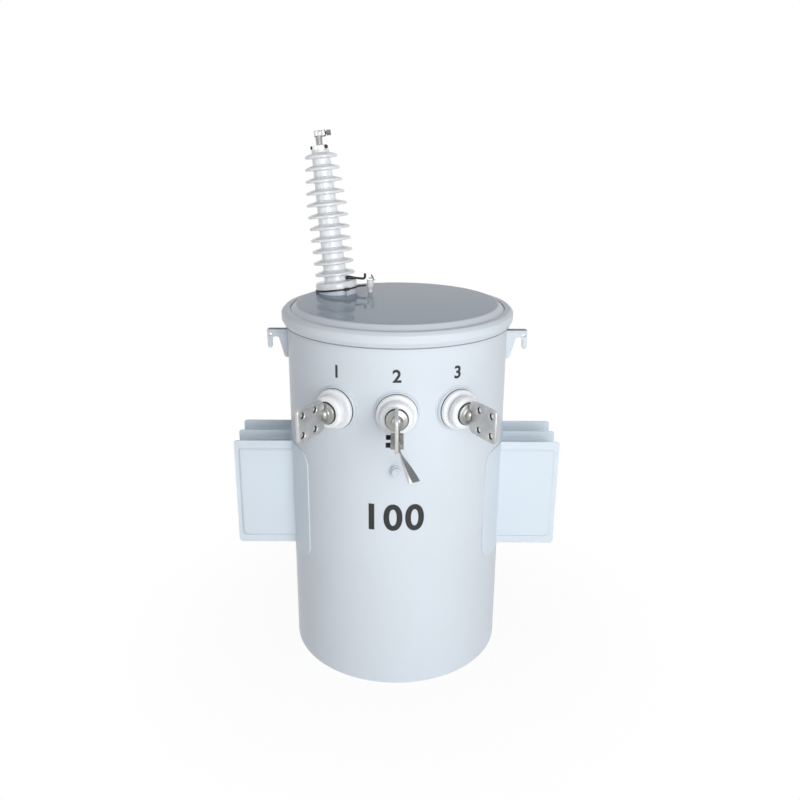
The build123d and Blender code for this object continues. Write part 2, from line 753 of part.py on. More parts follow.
# earth strap: hangs from the middle pad's lower holes and turns to face the front
pad_face = pad_thickness / 2 + seat_gap
strap_radius_out = pad_inner + pad_hole_centre
strap_bolt_level = lv_height - pad_hole_spacing / 2
strap_top = strap_bolt_level + strap_width / 2
strap_low = lv_height - pad_height / 2 - strap_clear
with BuildPart() as ground_strap:
    # flat tab against the pad
    with BuildSketch(Plane(origin=(pad_face, -strap_radius_out, 0), x_dir=(0, 1, 0), z_dir=(1, 0, 0))):
        with Locations((0, strap_bolt_level)):
            Rectangle(pad_hole_spacing + strap_width, strap_width)
        with Locations((0, (strap_top + strap_low) / 2)):
            Rectangle(strap_width, strap_top - strap_low)
        with Locations((0, strap_bolt_level)):
            with GridLocations(pad_hole_spacing, 1, 2, 1):
                Circle(strap_bolt_diameter / 2 + strap_bolt_clearance, mode=Mode.SUBTRACT)
    extrude(amount=strap_thickness)
    # twisting tail: a quarter turn over the drop
    turns = 4
    for step in range(turns + 1):
        share = step / turns
        turn = radians(90 * share)
        centre = Vector(
            pad_face + strap_thickness / 2 + strap_swing * share**strap_bend_power,
            -strap_radius_out + strap_reach * share,
            strap_low - strap_drop * share,
        )
        across_strap = Vector(sin(turn), -cos(turn), 0)
        with BuildSketch(Plane(origin=centre, x_dir=across_strap, z_dir=(0, 0, -1))):
            Rectangle(strap_width, strap_thickness)
    loft()
write("ground_strap", ground_strap)

with BuildPart() as strap_bolts:
    for side in (-1, 1):
        head_plane = Plane(
            origin=(
                pad_face + strap_thickness,
                -strap_radius_out + side * pad_hole_spacing / 2,
                strap_bolt_level,
            ),
            x_dir=(0, 1, 0),
            z_dir=(1, 0, 0),
        )
        nut_face = strap_thickness + seat_gap + pad_thickness
        with BuildSketch(head_plane):
            RegularPolygon(strap_bolt_flats / 2, 6, major_radius=False)
        extrude(amount=strap_bolt_head)
        with BuildSketch(head_plane):
            Circle(strap_bolt_diameter / 2)
        extrude(amount=-(nut_face + strap_bolt_nut + strap_bolt_end))
        with BuildSketch(head_plane.offset(-nut_face)):
            RegularPolygon(strap_bolt_flats / 2, 6, major_radius=False)
        extrude(amount=-strap_bolt_nut)
write("strap_bolts", strap_bolts)

# ---------------------------------------------------------------- pole brackets
bracket_face = tank_radius + bracket_projection
bracket_depth = bracket_projection + bracket_width**2 / (4 * tank_radius)
for height, name in ((lower_bracket, "pole_bracket_lower"), (upper_bracket, "pole_bracket_upper")):
    with BuildPart() as pole_bracket:
        with BuildSketch(Plane.XY.offset(height - bracket_plate_height / 2)):
            with Locations((0, bracket_face - bracket_depth / 2)):
                Rectangle(bracket_width, bracket_depth)
            with Locations((0, bracket_face - bracket_thickness - bracket_depth / 2)):
                Rectangle(bracket_width - 2 * bracket_thickness, bracket_depth, mode=Mode.SUBTRACT)
            Circle(tank_radius + seat_gap, mode=Mode.SUBTRACT)
        extrude(amount=bracket_plate_height)
        with BuildSketch(Plane(origin=(0, bracket_face, height), x_dir=(0, 0, 1), z_dir=(0, 1, 0))):
            SlotOverall(bracket_slot_length, bracket_slot_width)
        extrude(amount=-2 * bracket_thickness, mode=Mode.SUBTRACT)
    write(name, pole_bracket)

# ---------------------------------------------------------------- core and winding
loop_width = core_window_width + 2 * core_leg
loop_height = core_window_height + 2 * core_leg
core_bottom = bottom_plate_thickness + core_foot_height
core_middle = core_bottom + loop_height / 2
with BuildPart() as core_feet:
    with BuildSketch(Plane.XZ):
        for side in (-1, 1):
            with Locations((side * (core_split + loop_width) / 2, bottom_plate_thickness)):
                Rectangle(core_foot_width, core_foot_height, align=(Align.CENTER, Align.MIN))
                Rectangle(
                    core_foot_width - 2 * core_foot_thickness,
                    core_foot_height - core_foot_thickness,
                    align=(Align.CENTER, Align.MIN),
                    mode=Mode.SUBTRACT,
                )
    extrude(amount=core_foot_length / 2, both=True)
write("core_feet", core_feet)

with BuildPart() as transformer_core:
    with BuildSketch(Plane.XZ):
        with Locations(*[(side * (core_split + loop_width) / 2, core_middle) for side in (-1, 1)]):
            RectangleRounded(loop_width, loop_height, core_outer_round)
            RectangleRounded(core_window_width, core_window_height, core_inner_round, mode=Mode.SUBTRACT)
    extrude(amount=core_depth / 2, both=True)
write("transformer_core", transformer_core)

with BuildPart() as winding:
    legs_width = 2 * core_leg + core_split + 2 * winding_gap
    legs_depth = core_depth + 2 * winding_gap
    wound = core_window_width - 2 * winding_gap
    with BuildSketch(Plane.XY.offset(core_middle - winding_height / 2)):
        RectangleRounded(legs_width + 2 * wound, legs_depth + 2 * wound, winding_round)
        Rectangle(legs_width, legs_depth, mode=Mode.SUBTRACT)
    extrude(amount=winding_height)
write("winding", winding)
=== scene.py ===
"""Pole-mounted transformer: finished surfaces, finishes and a plain studio round the packed parts.

Metres.  +Z is up, the front of the tank (the low-voltage side) faces -Y, and the origin is the
centre of the tank's bottom.  Azimuths are measured from the front, positive towards +X.
"""

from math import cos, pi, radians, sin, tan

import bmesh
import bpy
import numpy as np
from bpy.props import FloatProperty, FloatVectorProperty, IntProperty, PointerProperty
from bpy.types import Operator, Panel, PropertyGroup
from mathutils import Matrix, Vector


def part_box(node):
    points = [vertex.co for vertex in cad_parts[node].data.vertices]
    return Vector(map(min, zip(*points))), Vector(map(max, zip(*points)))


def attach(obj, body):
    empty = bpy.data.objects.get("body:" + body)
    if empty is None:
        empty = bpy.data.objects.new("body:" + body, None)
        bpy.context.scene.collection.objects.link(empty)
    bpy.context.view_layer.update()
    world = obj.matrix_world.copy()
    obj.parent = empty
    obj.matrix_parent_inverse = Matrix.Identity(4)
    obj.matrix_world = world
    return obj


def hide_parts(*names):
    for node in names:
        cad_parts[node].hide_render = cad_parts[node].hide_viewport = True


bl_info = {
    "name": "Pole-Mounted Transformer",
    "version": (1, 0, 0),
    "blender": (4, 5, 0),
    "location": "3D View > Sidebar > Transformer",
    "description": "Builds the finished surfaces of a pole-mounted distribution transformer",
    "category": "Object",
}

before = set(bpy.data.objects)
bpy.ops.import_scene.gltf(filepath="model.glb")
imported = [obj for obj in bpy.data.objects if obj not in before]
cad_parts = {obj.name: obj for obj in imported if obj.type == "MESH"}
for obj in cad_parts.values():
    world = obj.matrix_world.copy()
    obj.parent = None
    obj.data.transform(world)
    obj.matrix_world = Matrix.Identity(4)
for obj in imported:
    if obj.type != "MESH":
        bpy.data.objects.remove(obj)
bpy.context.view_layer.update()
BODY = "root"
X, Y, Z = np.eye(3)
SIDES = ((-1, "left"), (1, "right"))
HAIR = 0.0002  # overlap or clearance between two pieces that touch
SUNK, BITE = 0.002, 0.001  # how far a boss's middle, and its foot's edge, lie under the wall's face
MERGE = 2e-6  # points closer than this become one
SHARP = 38.0  # degrees, from which an edge is shaded as a sharp one
ALL_ROUND, SEAL_ROUND = 256, 192  # steps round the tank's shells, and round its gaskets and seals
BEAD_OFF = 0.0008  # from a boss or a fin to the middle line of its weld bead
WELD = {  # widths of the weld beads
    "seam": 0.005, "lug": 0.0045, "fin": 0.0042, "neck": 0.004,
    "boss": 0.0045, "earth": 0.004, "bracket": 0.006,
}


# ------------------------------------------------------------------ places taken from the frame
def span(node, axis):
    """Lowest and highest coordinate of a packed part along an axis, 0 to 2."""
    low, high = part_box(node)
    return low[axis], high[axis]


TANK_RADIUS = span("tank_wall", 0)[1]
(RIM_FOOT, RIM_TOP), RIM_RADIUS = span("tank_rim", 2), span("tank_rim", 0)[1]
(FLANGE_FOOT, COVER_TOP), COVER_RADIUS = span("lid", 2), span("lid", 0)[1]
(BAND_FOOT, BAND_TOP), BAND_RADIUS = span("cover_band", 2), span("cover_band", 0)[1]
(LUG_FOOT, LUG_TOP), LUG_END = span("lifting_lug_right", 2), span("lifting_lug_right", 0)[1]
(FIN_FOOT, FIN_TOP), FIN_END = span("radiator_fin_right_2", 2), span("radiator_fin_right_2", 0)[1]
LV_LEVEL, PAD_FOOT = sum(span("lv_hub_2", 2)) / 2, span("lv_pad_2", 2)[0]
LV_BUSHING_FACE, LV_HUB_FACE = -span("lv_bushing_2", 1)[0], -span("lv_hub_2", 1)[0]
PAD_END, PAD_INNER = (-y for y in span("lv_pad_2", 1))
EARTH_LEVEL, EARTH_FACE = sum(span("ground_pad", 2)) / 2, -span("ground_pad", 1)[0]
BRACKET_FACE, BRACKET_EDGE = (span("pole_bracket_upper", axis)[1] for axis in (1, 0))
BRACKETS = {name: span("pole_bracket_" + name, 2) for name in ("lower", "upper")}
BRACKET_HEIGHT = BRACKETS["upper"][1] - BRACKETS["upper"][0]


# ------------------------------------------------------------------ settings
def size(name, description, default):
    """A length in metres."""
    kind = {"min": 0.0, "unit": "LENGTH", "precision": 4}
    return FloatProperty(name=name, description=description, default=default, **kind)


def angle(name, description, degrees):
    """An angle, given here in degrees."""
    return FloatProperty(name=name, description=description, default=radians(degrees), subtype="ANGLE")


def share(name, description, default):
    """A share from 0 to 1."""
    kind = {"min": 0.0, "max": 1.0, "subtype": "FACTOR"}
    return FloatProperty(name=name, description=description, default=default, **kind)


def power(name, description, default):
    """A lamp's power in watts."""
    return FloatProperty(name=name, description=description, default=default, min=0.0, unit="POWER")


def colour(name, description, *default):
    """A colour, as linear red, green and blue."""
    kind = {"size": 3, "min": 0.0, "max": 1.0, "subtype": "COLOR"}
    return FloatVectorProperty(name=name, description=description, default=default, **kind)


class TankSettings(PropertyGroup):
    """Sizes of the tank's shell, cover and clamp band"""

    wall: size("Wall", "Thickness of the tank's sheet", 0.003)
    bottom: size("Bottom plate", "Thickness of the bottom plate", 0.006)
    foot_round: size("Foot round", "Radius of the tank's lower edge", 0.004)
    rim_round: size("Rim round", "Radius of the rolled rim's edges", 0.0025)
    cover_sheet: size("Cover sheet", "Thickness of the cover", 0.003)
    cover_shoulder: size("Cover shoulder", "Run of the cover's rolled shoulder", 0.016)
    cover_round: size("Shoulder round", "Radius of the rolled shoulder", 0.011)
    gasket_width: size("Gasket width", "Width of the cover's gasket", 0.012)
    band_sheet: size("Band sheet", "Thickness of the clamp band", 0.0025)
    band_lip: size("Band lip", "Band's reach in over rim and cover", 0.013)
    band_bulge: size("Band bulge", "How far the band's face stands out", 0.0055)
    band_shoulder: size("Band shoulder", "Height of the band's sloped shoulders", 0.008)
    band_skirt: size("Band skirt", "How far the band's lower edge hangs below its fold", 0.0036)
    # The dark seal under the band is partly a seal and partly painted shade under the band's lower edge.
    band_shade_seal: size("Band seal", "Height of the dark seal under the band", 0.0026)
    band_round: size("Band round", "Radius between the shoulders and the band's face", 0.0065)
    band_split: size("Band split", "Opening of the band at the back", 0.026)
    band_lug: size("Band lug", "Thickness of the band's closing lugs", 0.006)
    band_lug_length: size("Band lug length", "Length of the band's closing lugs", 0.030)
    band_bolt: size("Band bolt", "Diameter of the band's bolt", 0.010)
    band_bolt_flats: size("Band bolt flats", "Across the flats of the bolt's head and nut", 0.01697)


class LugSettings(PropertyGroup):
    """Sizes of the lifting lugs"""

    thickness: size("Plate", "Thickness of the lug's plate", 0.009)
    arm: size("Arm depth", "Depth of the lug's arm", 0.019)
    tooth: size("Tooth width", "Width of the downturned tooth", 0.012)
    tooth_drop: size("Tooth drop", "How far the tooth reaches down", 0.048)
    gusset_top: size("Gusset top", "Gusset's width under the arm", 0.025)
    gusset_foot: size("Gusset foot", "Gusset's width at its foot", 0.011)
    hole: size("Hole", "Diameter of the lug's hole", 0.008)
    hole_inset: size("Hole inset", "Hole's centre from the arm's end", 0.008)
    hole_drop: size("Hole drop", "Hole's centre below the arm's top", 0.0135)
    lip_width: size("Lip width", "Width of the flat lip on top of the arm", 0.026)
    lip: size("Lip", "Thickness of the flat lip", 0.004)


class RadiatorSettings(PropertyGroup):
    """Sizes of the fin radiators"""

    pitch: size("Fin pitch", "Distance between two fins", 0.075)
    thickness: size("Fin thickness", "Thickness of a fin's pressed panel", 0.013)
    seam: size("Seam thickness", "Thickness of the welded seams", 0.003)
    edge_seam: size("Edge seam", "Width of the seam down a fin's outer edge", 0.009)
    end_seam: size("End seam", "Width of the seams across a fin's top and bottom", 0.0185)
    bevel: size("Panel bevel", "Width of the pressed panel's sloped border", 0.0062)
    panel_round: size("Panel corner", "Corner radius of the pressed panel", 0.010)
    corner: size("Fin corner", "Radius of a fin's outer corners", 0.006)
    sheet: size("Base sheet", "Thickness of the curved base sheet", 0.0025)
    sheet_gap: size("Base sheet gap", "Clearance between tank and base sheet", 0.0002)
    sheet_corner: size("Base sheet corner", "Corner radius of the base sheet", 0.035)


class BushingSettings(PropertyGroup):
    """Sizes of the high-voltage bushing and its arcing gap"""

    x: FloatProperty(name="Foot X", description="Bushing's foot on the cover", default=-0.155, unit="LENGTH")
    y: FloatProperty(name="Foot Y", description="Bushing's foot on the cover", default=0.107, unit="LENGTH")
    tilt: angle("Tilt", "How far the bushing leans away from the tank's axis", 7.5)
    neck: size("Neck diameter", "Diameter of the neck on the cover", 0.096)
    neck_height: size("Neck height", "Neck's height over the cover", 0.0065)
    gasket: size("Gasket", "Thickness of the bushing's gasket", 0.002)
    ring: size("Ring diameter", "Outer diameter of the clamp ring", 0.110)
    ring_thickness: size("Ring thickness", "Thickness of the clamp ring", 0.003)
    ring_lip: size("Ring lip", "How far the ring's turned lip hangs below it", 0.0014)
    ear_distance: size("Ear distance", "Distance of the ring's bolts from its axis", 0.0585)
    ear: size("Ear radius", "Radius of the clamp ring's ears", 0.008)
    ear_turn: angle("Ear turn", "Ears to each side of the ring's arm", 60.0)
    base: size("Base diameter", "Diameter of the porcelain's base", 0.106)
    base_height: size("Base height", "Height of the porcelain's base", 0.020)
    base_round: size("Base round", "Radius of the base's upper edge", 0.006)
    sheds: IntProperty(name="Sheds", description="Number of sheds", default=11, min=1)
    tapered: IntProperty(name="Tapered sheds", description="Top sheds that grow smaller", default=4, min=1)
    pitch: size("Shed pitch", "Distance between two sheds", 0.0288)
    first: size("First shed", "Lowest shed above the porcelain's foot", 0.041)
    shed: size("Shed diameter", "Diameter of the full sheds", 0.102)
    shed_top: size("Top shed diameter", "Diameter of the topmost shed", 0.081)
    shed_edge: size("Shed edge", "Half the thickness of a shed's edge", 0.0049)
    shed_rise: size("Shed rise", "Height of a shed's upper slope", 0.008)
    head: size("Core head", "Core above the topmost shed", 0.006)
    core_foot: size("Core foot", "Diameter of the core at its foot", 0.061)
    core_top: size("Core top", "Diameter of the core at its top", 0.044)
    cap: size("Cap diameter", "Diameter of the metal cap", 0.041)
    cap_height: size("Cap height", "Height of the metal cap", 0.012)
    stud: size("Stud diameter", "Diameter of the threaded stud", 0.018)
    stud_length: size("Stud length", "Length of the threaded stud", 0.0195)
    block_width: size("Terminal width", "Width of the clamp terminal's block", 0.029)
    block_height: size("Terminal height", "Height of the block", 0.0155)
    block_depth: size("Terminal depth", "Depth of the block", 0.018)
    block_offset: size("Terminal offset", "Block's middle to the right of the bushing's axis", 0.0035)
    block_bore: size("Terminal bore", "Diameter of the block's bore", 0.010)
    keeper: size("Keeper", "Thickness of the dark keeper behind the block", 0.004)
    keeper_rim: size("Keeper rim", "How far the keeper shows round the block", 0.0014)
    gap: size("Gap distance", "Distance of the arcing gap's post from the bushing", 0.085)
    post: size("Post diameter", "Diameter of the arcing gap's post", 0.018)
    post_height: size("Post height", "Height of the arcing gap's post", 0.032)
    rod: size("Rod diameter", "Diameter of the arcing horn", 0.005)


class TerminalSettings(PropertyGroup):
    """Sizes of the low-voltage bushings and their pads"""

    spread: angle("Spread", "Azimuth between two low-voltage bushings", 30.0)
    boss: size("Boss diameter", "Diameter of the welded boss at the wall", 0.101)
    boss_face: size("Boss face", "Diameter of the boss at its face", 0.0985)
    boss_height: size("Boss height", "Height of the boss over the wall", 0.006)
    flange: size("Flange diameter", "Diameter of the porcelain's flange", 0.093)
    # The dark gasket ring behind the flange is also painted shade outlining it.
    gasket: size("Gasket", "Thickness of the gasket behind the flange", 0.0015)
    flange_length: size("Flange length", "Length of the porcelain's flange", 0.011)
    groove: size("Groove diameter", "Diameter of the groove behind the body", 0.057)
    groove_width: size("Groove width", "Width of the groove", 0.0075)
    body: size("Body diameter", "Diameter of the porcelain's body", 0.076)
    body_inset: size("Body inset", "Porcelain's face short of the hub's foot", 0.004)
    # The dark seal round the hub is also painted shade between hub and porcelain.
    seal: size("Seal diameter", "Diameter of the dark seal round the hub", 0.053)
    hub: size("Hub diameter", "Diameter of the metal hub", 0.049)
    nose: size("Nose diameter", "Diameter of the hub's domed nose", 0.025)
    nose_inset: size("Nose inset", "Nose short of the hub's full length", 0.006)
    pad: size("Pad thickness", "Thickness of the terminal pad", 0.008)
    pad_height: size("Pad height", "Height of the terminal pad", 0.076)
    pad_round: size("Pad corner", "Radius of the pad's outer corners", 0.009)
    pad_neck: size("Pad neck", "Radius of the pad's inner corners", 0.020)
    pad_edge: size("Pad edge", "Width of the pad's softened edges", 0.0027)
    hole: size("Pad hole", "Diameter of the pad's holes", 0.0143)
    spacing: size("Hole spacing", "Distance between two of the pad's holes", 0.04445)
    pattern: size("Hole pattern", "Hole pattern's centre from the pad's inner end", 0.057)


class EarthSettings(PropertyGroup):
    """Sizes of the earth boss, its plug and the earth strap"""

    pad: size("Earth boss", "Diameter of the earth boss", 0.0280)
    plug: size("Plug", "Diameter of the boss's round plug", 0.0220)
    flats: size("Bolt flats", "Across the flats of the strap's bolts", 0.0168)
    head: size("Bolt head", "Height of the bolts' heads and of the plug", 0.008)
    nut: size("Nut", "Height of the bolts' nuts", 0.009)
    shank: size("Shank", "Diameter of the strap's bolts", 0.012)
    strap_width: size("Strap width", "Width of the earth strap", 0.025)
    strap: size("Strap thickness", "Thickness of the earth strap", 0.0025)
    drop: size("Strap drop", "Height of the strap's twisting tail", 0.078)
    swing: size("Strap swing", "How far the tail swings sideways", 0.033)
    slant: angle("Strap slant", "How far the strap's end is out of level", 16.0)
    reach: size("Strap reach", "How far the tail comes inward to the tank", 0.006)


class BracketSettings(PropertyGroup):
    """Sizes of the pole brackets"""

    sheet: size("Bracket sheet", "Thickness of the pole brackets", 0.008)
    bend: size("Bracket bend", "Radius of the brackets' bends, at mid thickness", 0.012)
    slot_width: size("Slot width", "Width of the brackets' slots", 0.020)
    slot_length: size("Slot length", "Length of the brackets' slots", 0.046)


class FinishSettings(PropertyGroup):
    """Colours of the finishes"""

    enamel: colour("Tank enamel", "Baked enamel on tank, lugs and brackets", 0.665, 0.720, 0.780)
    # The cover colour is the tank's enamel painted darker: painted shade for the dim surroundings that the
    # glossy level top mirrors.
    cover: colour("Cover enamel", "Glossy enamel of the cover's level top", 0.330, 0.400, 0.490)
    radiator: colour("Radiator enamel", "Enamel of the radiators", 0.680, 0.760, 0.830)
    porcelain: colour("Porcelain", "Glaze of the insulators", 0.830, 0.850, 0.870)
    # Tinned also paints the strap's lit edge as a highlight.
    tinned: colour("Tinned metal", "Pads, stud, terminal and the strap's edge", 0.560, 0.560, 0.550)
    bright: colour("Bright metal", "Cap and clip of the high-voltage bushing", 0.800, 0.805, 0.810)
    dark: colour("Dark bolts", "Bolts of strap and terminal", 0.270, 0.275, 0.275)
    hub: colour("Hub metal", "Hubs of the low-voltage bushings", 0.400, 0.405, 0.395)
    zinc: colour("Zinc plating", "Bolt of the clamp band", 0.560, 0.565, 0.570)
    # The strap colour is dark partly as painted shade on the twisted face.
    strap: colour("Strap metal", "Dull metal of the earth strap", 0.200, 0.215, 0.230)
    # Black also lines the pad holes, where it is painted shade.
    black: colour("Black steel", "Clamp ring, arcing horn and other black steel", 0.012, 0.012, 0.014)
    # Sealant colours the ring under the band, which is partly painted shade.
    sealant: colour("Sealant", "Seal under the clamp band", 0.270, 0.290, 0.310)
    # Rubber also colours the bushings' outline rings, which are partly painted shade.
    rubber: colour("Rubber", "Gaskets and dark seals", 0.020, 0.021, 0.023)
    marking: colour("Marking", "Painted numerals", 0.015, 0.015, 0.017)
    steel: colour("Core steel", "Rolled strip of the core", 0.250, 0.255, 0.270)
    paper: colour("Insulation", "Paper round the winding", 0.420, 0.290, 0.150)


class StageSettings(PropertyGroup):
    """Floor, lamps and camera"""

    floor: colour("Floor", "Colour of the plain floor", 0.85, 0.85, 0.86)
    key: power("Key lamp", "Power of the large soft lamp", 56.0)
    fill: power("Fill lamp", "Power of the soft lamp on the left", 4.0)
    sky: share("Surrounding light", "Brightness of the studio's walls", 0.52)
    ceiling: share("Ceiling light", "Brightness of the studio's ceiling", 0.24)
    lens: FloatProperty(name="Lens", description="Focal length", default=36.72, min=1.0, unit="CAMERA")
    camera_height: size("Camera height", "Height of the camera", 1.328)
    camera_distance: size("Camera distance", "Camera in front of the tank's axis", 1.976)
    camera_pitch: angle("Camera pitch", "How far the camera looks down", 18.75)
    camera_roll: angle("Camera roll", "Turn of the camera about its own line of sight", 0.30)
    camera_shift: FloatProperty(name="Camera shift", description="Picture moved sideways", default=0.0039)


SETTINGS = {
    "transformer_tank": TankSettings,
    "transformer_lugs": LugSettings,
    "transformer_radiator": RadiatorSettings,
    "transformer_bushing": BushingSettings,
    "transformer_terminals": TerminalSettings,
    "transformer_earth": EarthSettings,
    "transformer_brackets": BracketSettings,
    "transformer_finish": FinishSettings,
    "transformer_stage": StageSettings,
}


# ------------------------------------------------------------------ frames to set shapes in
def unit(vector):
    """The vector at length one."""
    vector = np.asarray(vector, float)
    return vector / np.linalg.norm(vector)


def place(origin, x, z):
    """A frame: its origin, and its x, y and z directions as rows; y is z cross x."""
    x, z = unit(x), unit(z)
    return np.asarray(origin, float), np.array([x, np.cross(z, x), z])


def outward(azimuth):
    """Unit vector straight out of the tank at an azimuth in radians: (sin, -cos, 0)."""
    return np.array([sin(azimuth), -cos(azimuth), 0.0])


def facing(azimuth, level):
    """Frame on the tank's axis that looks out: x to the right, y up, z outward."""
    return place((0, 0, level), (cos(azimuth), sin(azimuth), 0), outward(azimuth))


def upright(azimuth, level, aside=0.0):
    """Frame of an upright radial plate: x outward, y up; aside moves it along its z."""
    out = outward(azimuth)
    across = np.cross(out, Z)
    return place(across * aside + (0, 0, level), out, across)


def shifted(where, x=0.0, y=0.0, z=0.0):
    """The frame, moved along its own directions."""
    origin, axes = where
    return origin + np.array([x, y, z]) @ axes, axes


def set_in(surface, where):
    """A surface made about the origin, set in a frame: origin + x, y and z times the directions."""
    points, faces = surface
    origin, axes = where
    return origin + points @ axes, faces


# ------------------------------------------------------------------ surfaces of two parameters
def grid_faces(rows, columns, wrap_rows=False, wrap_columns=True):
    """Quads between neighbours of a grid of points that are numbered row by row."""
    spans = np.arange(rows - (not wrap_rows)), np.arange(columns - (not wrap_columns))
    row, column = np.meshgrid(*spans, indexing="ij")
    here, after = row * columns, (row + 1) % rows * columns
    beside = (column + 1) % columns
    return np.stack([here + column, here + beside, after + beside, after + column], -1).reshape(-1, 4)


def capped(rings):
    """Closed surface from rows of points that go round: neighbours joined, first and last row filled."""
    rows, count = rings.shape[:2]
    ends = [list(range(count)), list(range((rows - 1) * count, rows * count))[::-1]]
    return rings.reshape(-1, 3), grid_faces(rows, count).tolist() + ends


def rounded(*corners, closed=True, steps=6):
    """A line through corners (coordinates..., radius): each is an arc tangent to both its sides.

    The arc turns from one tangent point to the other about the centre on the corner's bisector.
    """
    corners = np.asarray(corners, float)
    at, radii = corners[:, :-1], corners[:, -1]
    line = []
    for i, radius in enumerate(radii):
        if radius <= 0 or (not closed and i in (0, len(at) - 1)):
            line.append(at[i : i + 1])
            continue
        back, on = unit(at[i - 1] - at[i]), unit(at[(i + 1) % len(at)] - at[i])
        half = np.arccos(np.clip(back @ on, -1, 1)) / 2
        reach, turn = radius / np.tan(half), pi - 2 * half
        centre = at[i] + unit(back + on) * radius / np.sin(half)
        first, last = at[i] + back * reach - centre, at[i] + on * reach - centre
        t = np.linspace(0, 1, steps + 1)[:, None]
        line.append(centre + (np.sin((1 - t) * turn) * first + np.sin(t * turn) * last) / np.sin(turn))
    return np.concatenate(line)


def oblong(left, right, foot, top, left_round, right_round):
    """Outline of a rectangle, with one radius for its left corners and one for its right ones."""
    lower = (left, foot, left_round), (right, foot, right_round)
    return rounded(*lower, (right, top, right_round), (left, top, left_round))


def turned(profile, segments=128, closed=False):
    """Turned surface: (radius, level) becomes (radius cos a, radius sin a, level) for every angle a."""
    a = np.linspace(0, 2 * pi, segments, endpoint=False)
    radius, level = profile[:, :1], profile[:, 1:2]
    points = np.stack([radius * np.cos(a), radius * np.sin(a), level + 0 * a], -1)
    return points.reshape(-1, 3), grid_faces(len(profile), segments, closed)


def spun(*corners, segments=128, steps=6):
    """Turned surface of a rounded outline that starts and ends on the axis."""
    return turned(rounded(*corners, closed=False, steps=steps), segments)


def part_turned(profile, start, stop, segments):
    """A closed profile turned from one angle to another, with its two ends filled."""
    a = np.linspace(start, stop, segments)
    radius, level = profile.T
    rings = [np.outer(np.cos(a), radius), np.outer(np.sin(a), radius), np.outer(0 * a + 1, level)]
    return capped(np.stack(rings, -1))


def polar(radii, levels, closed=False):
    """Surface about z from rings: each ring's radius may change with the angle."""
    columns = max(np.size(r) for r in radii)
    a = np.linspace(0, 2 * pi, columns, endpoint=False)
    r, z = (np.stack([np.broadcast_to(x, columns) for x in values]) for values in (radii, levels))
    points = np.stack([r * np.cos(a), r * np.sin(a), z], -1)
    return points.reshape(-1, 3), grid_faces(len(radii), columns, closed)


def ring_section(radius, count=12):
    """Points of a circle, as a section."""
    a = np.linspace(0, 2 * pi, count, endpoint=False)
    return np.stack([np.cos(a), np.sin(a)], -1) * radius


def circle(x, y, diameter):
    """A round hole's outline."""
    return ring_section(diameter / 2, 40) + (x, y)


def swept(section, path, over, scale=1.0, closed=False):
    """A section carried along a path: path + scale (right x + over y), square to the path.

    The ends of an open path shrink to its end points, which closes them.
    """
    scale = np.broadcast_to(scale, len(path)).astype(float)
    if closed:
        along = np.roll(path, -1, 0) - np.roll(path, 1, 0)
    else:
        along = np.gradient(path, axis=0)
        path, along = path[[0, *range(len(path)), -1]], along[[0, *range(len(along)), -1]]
        scale = np.concatenate([[0], scale, [0]])
    along /= np.linalg.norm(along, axis=1)[:, None]
    right = np.cross(along, np.broadcast_to(over, along.shape))
    right /= np.linalg.norm(right, axis=1)[:, None]
    top = np.cross(right, along)
    spread = section[None, :, :1] * right[:, None] + section[None, :, 1:] * top[:, None]
    points = path[:, None] + scale[:, None, None] * spread
    return points.reshape(-1, 3), grid_faces(len(path), len(section), closed)


def bead(path, width, over, closed=False):
    """Weld bead: a rod along a path whose thickness swells and shrinks at every ripple."""
    steps = np.linalg.norm(np.diff(path, axis=0), axis=1)
    run = np.concatenate([[0], np.cumsum(steps)])
    ripple = 1 + 0.10 * np.cos(2 * pi * run / (1.6 * width))
    return swept(ring_section(width / 2, 8), path, over, ripple, closed)


def straight(start, stop, spacing):
    """Points of a straight run, about one spacing apart."""
    start, stop = np.asarray(start, float), np.asarray(stop, float)
    count = max(2, int(np.linalg.norm(stop - start) / spacing) + 1)
    return start + (stop - start) * np.linspace(0, 1, count)[:, None]


def upright_bead(x, y, start, stop, width, over, spacing=0.0012):
    """Weld bead up or down an upright line."""
    return bead(straight((x, y, start), (x, y, stop), spacing), width, over)


def hexagon(flats, height):
    """Hexagon head or nut: r(a) is half the flats over the cosine of the angle to the nearest flat.

    Its top is cut by a cone of 30 degrees, so the flats end in arcs below the round face.
    """
    a = np.linspace(0, 2 * pi, 72, endpoint=False)
    corner = flats / 2 / np.cos((a + pi / 6) % (pi / 3) - pi / 6)
    face = 0.475 * flats
    top = height - (corner - face) * tan(pi / 6)
    return polar([0, corner - HAIR, corner, corner, face, 0], [0, 0, HAIR, top, height, height])


def washer(diameter, thickness):
    """Round washer with softened edges."""
    radius, edge = diameter / 2, thickness * 0.3
    corners = (0, 0, 0), (radius, 0, edge), (radius, thickness, edge), (0, thickness, 0)
    return spun(*corners, segments=48, steps=3)


def fastener(where, flats, height, disc, seat):
    """A washer, and a bolt's head or nut on it."""
    return [set_in(washer(disc, seat), where), set_in(hexagon(flats, height), shifted(where, z=seat))]


def thread(diameter, length, pitch):
    """Screw thread: the radius falls by a saw wave of level / pitch - angle / turn, and fades at the ends."""
    rows, columns = int(length / pitch * 8) + 2, 40
    level = np.linspace(0, length, rows)[:, None]
    a = np.linspace(0, 2 * pi, columns, endpoint=False)
    wave = np.abs(2 * ((level / pitch - a / (2 * pi)) % 1) - 1)
    fade = np.clip(np.minimum(level, length - level) / pitch, 0, 1)
    radius = diameter / 2 - 0.6 * pitch * (1 - fade + fade * wave)
    return polar([0, *radius, 0], [0, *level[:, 0], length])


